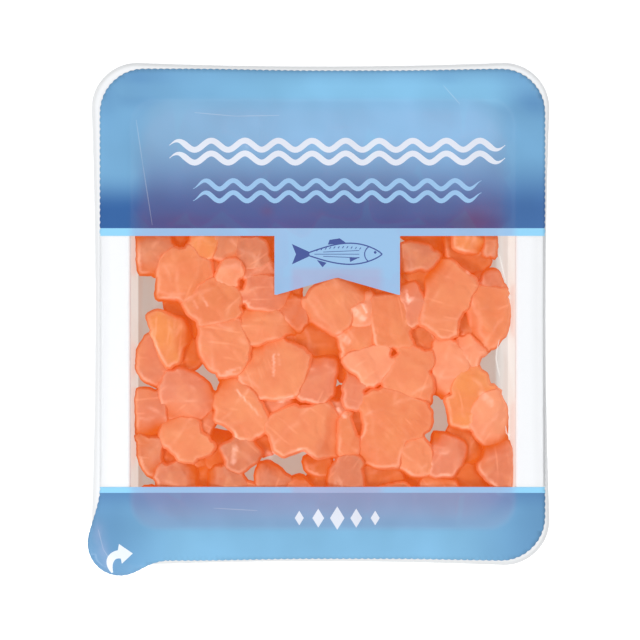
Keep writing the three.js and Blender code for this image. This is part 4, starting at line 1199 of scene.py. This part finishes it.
def ink_fields(x, y):
    """Colours of the upper band, the lower band and the strips at each point of the film.

    Plain colours lie over the white flange and dull ones over the cavity. The last two results say
    how far a point is over the cavity, and how far it is well inside it.
    """
    distance = rounded_distance(x, y, *CAVITY_HALF, 13.0)
    over = smoothstep(1.4, -1.4, distance)
    soft_over = over * smoothstep(53.5, 46.0, np.abs(x))
    well_in = smoothstep(-1.2, -4.5, distance)
    middle = plateau(-52, 5, 44, 56, x)
    low_middle = plateau(-60, -36, 34, 60, x)
    low_over = smoothstep(1.2, -1.2, rounded_distance(x, y, *CAVITY_HALF, 8.0))
    flat = np.column_stack([x, y])
    mottle = uneven(flat, 0.07, Vector((9, 2, 5))) + 0.5 * uneven(flat, 0.19, Vector((1, 6, 2)))
    dark = blend(DARK_BLUE, DARK_RIGHT, smoothstep(0, 50, x))
    plain = blend(dark, LIGHT_BLUE, smoothstep(28.6, between(39.3, 45, smoothstep(40, 55, x)), y))
    # A painted highlight along the middle of the top flange, and painted shade on the crumpled corners.
    plain = blend(plain, HIGHLIGHT_BLUE, middle * plateau(55, 59, 62.5, 67.5, y))
    plain = blend(plain, CORNER_SHADE_BLUE, spread(x, y, SHADED_SPOTS) * np.clip(0.85 + 0.6 * mottle, 0, 1))
    through = between(0.94, 1.0, well_in)[:, None]
    dull_light = blend(LIGHT_OVER_CUBES, LIGHT_OVER_RIGHT, plateau(-45, 28, 38, 51, x))
    dull_dark = blend(DARK_OVER_CUBES, DARK_OVER_RIGHT, smoothstep(18, 34, x))
    dull_dark = blend(dull_dark, DARK_AT_STRIP, smoothstep(28.6, 24.6, y))
    dull = blend(dull_light, dull_dark, smoothstep(49.8, 28.0, y)) * through
    upper = blend(blend(plain, dull, soft_over), TINT_RED, spread(x, y, TINTS))
    # The lower band is painted in shade towards its ends and is lighter in the middle.
    low_plain = blend(blend(LOW_BLUE_SHADED_END, LOW_BLUE, low_middle), LOW_DARK, 1 - smoothstep(-48.0, -54.5, y))
    low_dull = blend(LOW_OVER_SHADED_END, LOW_OVER_TOP, middle * smoothstep(52, 34, x))
    low_dull = blend(low_dull, LOW_OVER_CUBES, smoothstep(-49.5, -58.0, y)) * through
    lower = blend(blend(low_plain, low_dull, low_over), LILAC, spread(x, y, TAB_SHEENS))
    streaks = uneven(flat * (0.35, 1.6), 0.06, Vector((3, 8, 1)))
    sheen = (1 + 0.07 * streaks + 0.07 * mottle)[:, None]
    strip = blend(STRIP_BLUE, STRIP_OVER_CUBES, over)
    in_pennant = plateau(-9.5, -7.5, 14.5, 17.5, x) * smoothstep(13.4, 11.6, y)
    strip = blend(strip, LILAC, 0.75 * in_pennant)
    return upper * sheen, lower * sheen, strip, over, well_in


def facing_up(x, y, triangles):
    """The triangles, each wound anticlockwise."""
    a, b, c = triangles.T
    area = (x[b] - x[a]) * (y[c] - y[a])
    area -= (x[c] - x[a]) * (y[b] - y[a])
    triangles[area < 0] = triangles[area < 0][:, ::-1]
    return triangles


def open_sides(triangles):
    """The sides that one triangle alone has."""
    sides = {}
    for a, b, c in triangles.tolist():
        for start, end in ((a, b), (b, c), (c, a)):
            if (end, start) in sides:
                del sides[(end, start)]
            else:
                sides[(start, end)] = True
    return sides


def film_colours(x, y, triangles, contact, shapes):
    """Colour and cover of the print and of the clear film, on each corner of each triangle."""
    upper, lower, strip, over, well_in = ink_fields(x, y)
    touching = sample(contact, x, y) * over
    middles = np.column_stack([x[triangles].mean(1), y[triangles].mean(1)])
    middle_y = middles[:, 1]
    colour = np.zeros((len(triangles), 3, 4))
    # A faint painted reflection, a pale veil, on the clear film where it does not touch the flesh.
    colour[:, :, :3] = HAZE_REFLECTION_TONE
    colour[:, :, 3] = (HAZE_REFLECTION * (over - touching))[triangles]
    in_strip = (middle_y > STRIP_TOP_Y) & (middle_y < BAND_TOP_Y)
    in_strip |= (middle_y > BAND_LOW_Y) & (middle_y < STRIP_LOW_Y)
    in_strip |= inside_outline(pennant_outline(), middles)
    in_upper, in_lower = middle_y > BAND_TOP_Y, middle_y < BAND_LOW_Y
    for chosen, ink, cover in ((in_upper, upper, 0.94), (in_lower, lower, 0.93), (in_strip, strip, 0.93)):
        colour[chosen, :, :3] = ink[triangles[chosen]]
        opaque = cover + (0.98 - cover) * (1 - well_in) - 0.03 * touching * well_in
        colour[chosen, :, 3] = opaque[triangles[chosen]]
    for ink, outline in shapes:
        chosen = inside_outline(outline, middles)
        if ink == "crease":
            colour[chosen, :, :3] = colour[chosen, :, :3] * 0.85 + 0.15 * np.array(CREASE_HIGHLIGHT_TONE)
        else:
            colour[chosen, :, :] = INK[ink]
    return colour


def make_film(cubes, outer, inner):
    """The film as a thin sheet with two faces, its print in the colours of its upper face."""
    heights, contact = draped_heights(cubes)
    flat, triangles, shapes = film_mesh_plan()
    used, renumbered = np.unique(triangles, return_inverse=True)
    x, y = flat[used].T
    z = sample(heights, x, y)
    triangles = facing_up(x, y, renumbered.reshape(-1, 3))
    count = len(x)
    points = np.vstack([np.column_stack([x, y, z + FILM_THICK]), np.column_stack([x, y, z])])
    sides = open_sides(triangles)
    rim = [(a + count, b + count, b) for a, b in sides] + [(a + count, b, a) for a, b in sides]
    faces = np.vstack([triangles, triangles[:, ::-1] + count, np.array(rim)])
    obj = new_object("lidding_film", points, faces, [outer, inner])
    slots = np.ones(len(faces), np.int32)
    slots[: len(triangles)] = 0
    obj.data.polygons.foreach_set("material_index", slots)
    corners = np.tile((*srgb(240, 240, 240), 0.0), (len(faces) * 3, 1))
    corners[: len(triangles) * 3] = film_colours(x, y, triangles, contact, shapes).reshape(-1, 4)
    add_layer(obj, "ink", "FLOAT_COLOR", corners, "CORNER")
    return obj


# ---- Materials ----

TRAY_WHITE, TRAY_LIP_SHADE, TRAY_INSIDE_SHADE = srgb(242, 243, 245), srgb(222, 223, 224), srgb(116, 132, 140)
FLOOR_GLOW, WALL_GLOW, FLESH_GLOW = srgb(254, 226, 209), srgb(255, 246, 238), srgb(255, 100, 20)
CLOUD_RED, CLOUD_WARM, CLOUD_FINE = srgb(184, 114, 88), srgb(202, 156, 116), srgb(206, 152, 118)
FIBRE_PALE, FIBRE_DARK, FAT_LINE = srgb(218, 166, 132), srgb(180, 104, 70), srgb(236, 190, 158)
FIBRE_STRETCH = (1.6, 0.22, 0.22)


class Nodes:
    """A material's node tree, with short ways to add and join nodes, which take and give sockets."""

    def __init__(self, name):
        self.material = bpy.data.materials.new(name)
        self.material.use_nodes = True
        self.tree = self.material.node_tree
        self.tree.nodes.clear()

    def feed(self, target, value):
        """Gives an input a number or colour of its own, or another node's output."""
        if isinstance(value, bpy.types.NodeSocket):
            self.tree.links.new(value, target)
        else:
            target.default_value = value

    def add(self, kind, output=0, **values):
        """Adds a node and gives its output: lower-case names are settings, and others are inputs."""
        node = self.tree.nodes.new("ShaderNode" + kind)
        for name, value in values.items():
            if name[0].islower():
                setattr(node, name, value)
            else:
                self.feed(node.inputs[name.replace("_", " ")], value)
        return node.outputs[output]

    def fill(self, socket, first, *values):
        """Feeds values to a node's inputs in order, from number first on, and gives the node's output."""
        for number, value in enumerate(values, first):
            self.feed(socket.node.inputs[number], value)
        return socket

    def attribute(self, name, output="Fac"):
        return self.add("Attribute", output, attribute_name=name)

    def math(self, operation, first, second, kind="Math"):
        return self.fill(self.add(kind, operation=operation), 0, first, second)

    def noise(self, place, scale, detail=2, shift=None):
        """Noise at the coordinates that a socket gives, which may be shifted."""
        if shift:
            place = self.math("ADD", place, shift, "VectorMath")
        return self.add("TexNoise", "Fac", Vector=place, Scale=scale, Detail=detail)

    def ramp(self, socket, low, high, end=1.0, start=0.0):
        """Maps low to high smoothly onto start to end."""
        return self.add(
            "MapRange", interpolation_type="SMOOTHSTEP", Value=socket,
            From_Min=low, From_Max=high, To_Min=start, To_Max=end,
        )

    def mix(self, share, first, colour):
        """The first colour with a share of a fixed colour."""
        return self.fill(self.add("Mix", 2, data_type="RGBA", Factor=share), 6, first, (*colour, 1))

    def cloud(self, place, scale, low, high, most, first, colour, shift=None):
        """The first colour with soft clouds of another."""
        return self.mix(self.ramp(self.noise(place, scale, 3, shift), low, high, most), first, colour)

    def cover(self, share, below, above):
        """One shader with a share of another over it."""
        return self.fill(self.add("MixShader"), 0, share, below, above)

    def bump(self, height, strength, distance):
        return self.add("Bump", Height=height, Strength=strength, Distance=distance)

    def show(self, shader):
        output = self.tree.nodes.new("ShaderNodeOutputMaterial")
        self.feed(output.inputs["Surface"], shader)
        return self.material


def tray_material():
    """White plastic; inside it has a darker base under a painted glow, dimmer on the floor, and its lip has
    painted shade.
    """
    nodes = Nodes("tray_white")
    inner = nodes.attribute("inner")
    lip_shaded = nodes.mix(nodes.attribute("edge"), (*TRAY_WHITE, 1), TRAY_LIP_SHADE)
    wet = nodes.mix(nodes.ramp(inner, 0.0, FLOOR_GLOW_SHARE), lip_shaded, TRAY_INSIDE_SHADE)
    lit = nodes.mix(nodes.ramp(inner, FLOOR_GLOW_SHARE, 0.85), (*FLOOR_GLOW, 1), WALL_GLOW)
    return nodes.show(nodes.add(
        "BsdfPrincipled", Base_Color=wet, Roughness=0.32, Coat_Weight=0.15,
        Emission_Color=lit, Emission_Strength=nodes.math("MULTIPLY", inner, 0.66),
        Subsurface_Weight=0.1, Subsurface_Radius=(0.003, 0.003, 0.003),
        Normal=nodes.bump(nodes.noise(nodes.add("TexCoord", "Object"), 260, 3), 0.12, 0.0002),
    ))


def salmon_material():
    """Matt flesh: soft clouds, fine fibres along each chunk's own grain and faint fat lines, with painted
    shade and a painted glow that grow with depth.
    """
    nodes = Nodes("salmon_flesh")
    grain = nodes.attribute("grain", "Vector")
    flesh = nodes.cloud(grain, 0.16, 0.35, 0.65, 0.3, nodes.attribute("tone", "Color"), CLOUD_RED)
    flesh = nodes.cloud(grain, 0.13, 0.45, 0.7, 0.3, flesh, CLOUD_WARM, (31, 7, 3))

    fibre = nodes.noise(nodes.math("MULTIPLY", grain, FIBRE_STRETCH, "VectorMath"), 0.8, 3)
    some_fibre = nodes.ramp(nodes.noise(grain, 0.1, 2, (5, 12, 9)), 0.55, 0.75)
    pale = nodes.math("MULTIPLY", nodes.ramp(fibre, 0.5, 0.78, 0.26), some_fibre)
    dark = nodes.math("MULTIPLY", nodes.ramp(fibre, 0.48, 0.25, 0.2), some_fibre)
    flesh = nodes.mix(dark, nodes.mix(pale, flesh, FIBRE_PALE), FIBRE_DARK)
    flesh = nodes.cloud(grain, 0.6, 0.45, 0.75, 0.12, flesh, CLOUD_FINE, (3, 15, 8))

    fat = nodes.add(
        "TexWave", "Fac", bands_direction="X", Vector=grain,
        Scale=0.09, Distortion=3.0, Detail=2, Detail_Scale=0.6,
    )
    some_fat = nodes.ramp(nodes.noise(grain, 0.13), 0.5, 0.65)
    flesh = nodes.mix(nodes.math("MULTIPLY", nodes.ramp(fat, 0.9, 1.0, 0.2), some_fat), flesh, FAT_LINE)

    depth = nodes.attribute("depth")
    relief = nodes.math("ADD", nodes.noise(grain, 0.45, 3), nodes.math("MULTIPLY", fibre, 0.25))
    return nodes.show(nodes.add(
        "BsdfPrincipled", Roughness=0.5, Specular_IOR_Level=0.12,
        # Painted shade darkens the flesh with depth; a painted orange glow, stronger with depth, stands in
        # for light through the flesh.
        Base_Color=nodes.mix(nodes.ramp(depth, 0.9, 3.3, 0.95), flesh, DEEP_SHADE_TONE),
        Emission_Color=(*FLESH_GLOW, 1), Emission_Strength=nodes.ramp(depth, 0.3, 3.5, 0.48, 0.37),
        Normal=nodes.bump(relief, 0.35, 0.0003),
    ))


def film_material():
    """Clear film: its print covers what lies below, and a thin gloss lies over both."""
    nodes = Nodes("printed_film")
    ripple = nodes.bump(nodes.noise(nodes.add("TexCoord", "Object"), 220), 0.2, 0.0003)
    ink = nodes.attribute("ink", "Color")
    paint = nodes.add("BsdfPrincipled", Base_Color=ink, Roughness=0.5, Specular_IOR_Level=0.0)
    printed = nodes.cover(ink.node.outputs["Alpha"], nodes.add("BsdfTransparent"), paint)
    gloss = nodes.add("BsdfGlossy", Roughness=0.2, Normal=ripple)
    return nodes.show(nodes.cover(nodes.add("Fresnel", IOR=1.19, Normal=ripple), printed, gloss))


def clear_material():
    """The film's inner face, which only lets light through."""
    nodes = Nodes("film_inner")
    return nodes.show(nodes.add("BsdfTransparent"))


def floor_material():
    nodes = Nodes("studio_floor")
    return nodes.show(nodes.add(
        "BsdfPrincipled", Roughness=0.9, Base_Color=(0.93, 0.93, 0.93, 1),
        Emission_Color=(1, 1, 1, 1), Emission_Strength=0.35,
    ))


# ---- Stage ----


def make_floor():
    points = [(x * FLOOR_HALF, y * FLOOR_HALF, 0) for x, y in ((-1, -1), (1, -1), (1, 1), (-1, 1))]
    new_object("studio_floor", points, [(0, 1, 2, 3)], [floor_material()])


def add_softbox(name, place, size, power):
    """A square area light that looks at the pack."""
    lamp = bpy.data.lights.new(name, "AREA")
    lamp.shape = "SQUARE"
    lamp.size = size
    lamp.energy = power
    obj = add_to_scene(name, lamp)
    obj.location = place
    obj.rotation_euler = (-Vector(place)).to_track_quat("-Z", "Y").to_euler()


def make_light():
    scene = bpy.context.scene
    world = bpy.data.worlds.new("studio")
    world.use_nodes = True
    sky = world.node_tree.nodes["Background"]
    sky.inputs["Color"].default_value = (0.97, 0.985, 1.0, 1)
    sky.inputs["Strength"].default_value = 0.52
    scene.world = world
    add_softbox("key_softbox", (-0.5, -0.4, 0.75), 0.22, 5.3)
    add_softbox("fill_softbox", (0.5, 0.35, 0.75), 0.45, 2.4)
    scene.view_settings.view_transform = "Standard"


def make_camera():
    """Straight down, with the picture's centre and scale on the flange."""
    camera = bpy.data.cameras.new("overhead")
    across = IMAGE_SIDE / PIXELS_PER_MM * MM
    camera.sensor_width = 36
    camera.lens = camera.sensor_width * CAMERA_DISTANCE / across
    camera.clip_start = 0.01
    obj = add_to_scene("overhead", camera)
    obj.location = (
        (IMAGE_SIDE / 2 - ORIGIN_PIXEL[0]) / PIXELS_PER_MM * MM,
        (ORIGIN_PIXEL[1] - IMAGE_SIDE / 2) / PIXELS_PER_MM * MM,
        FLANGE_TOP * MM + CAMERA_DISTANCE,
    )
    bpy.context.scene.camera = obj


def place(piece, node, slot):
    """The piece stands for a CAD node and moves with the pack."""
    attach(piece, "root")
    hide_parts(node)


def main():
    tray = make_tray(tray_material())
    cubes = make_salmon(salmon_material())
    film = make_film(cubes, film_material(), clear_material())
    place(tray, "tray", "tray_plastic")
    place(cubes, "salmon", "salmon_flesh")
    place(film, "film", "lidding_film")
    make_floor()
    make_light()
    make_camera()


main()
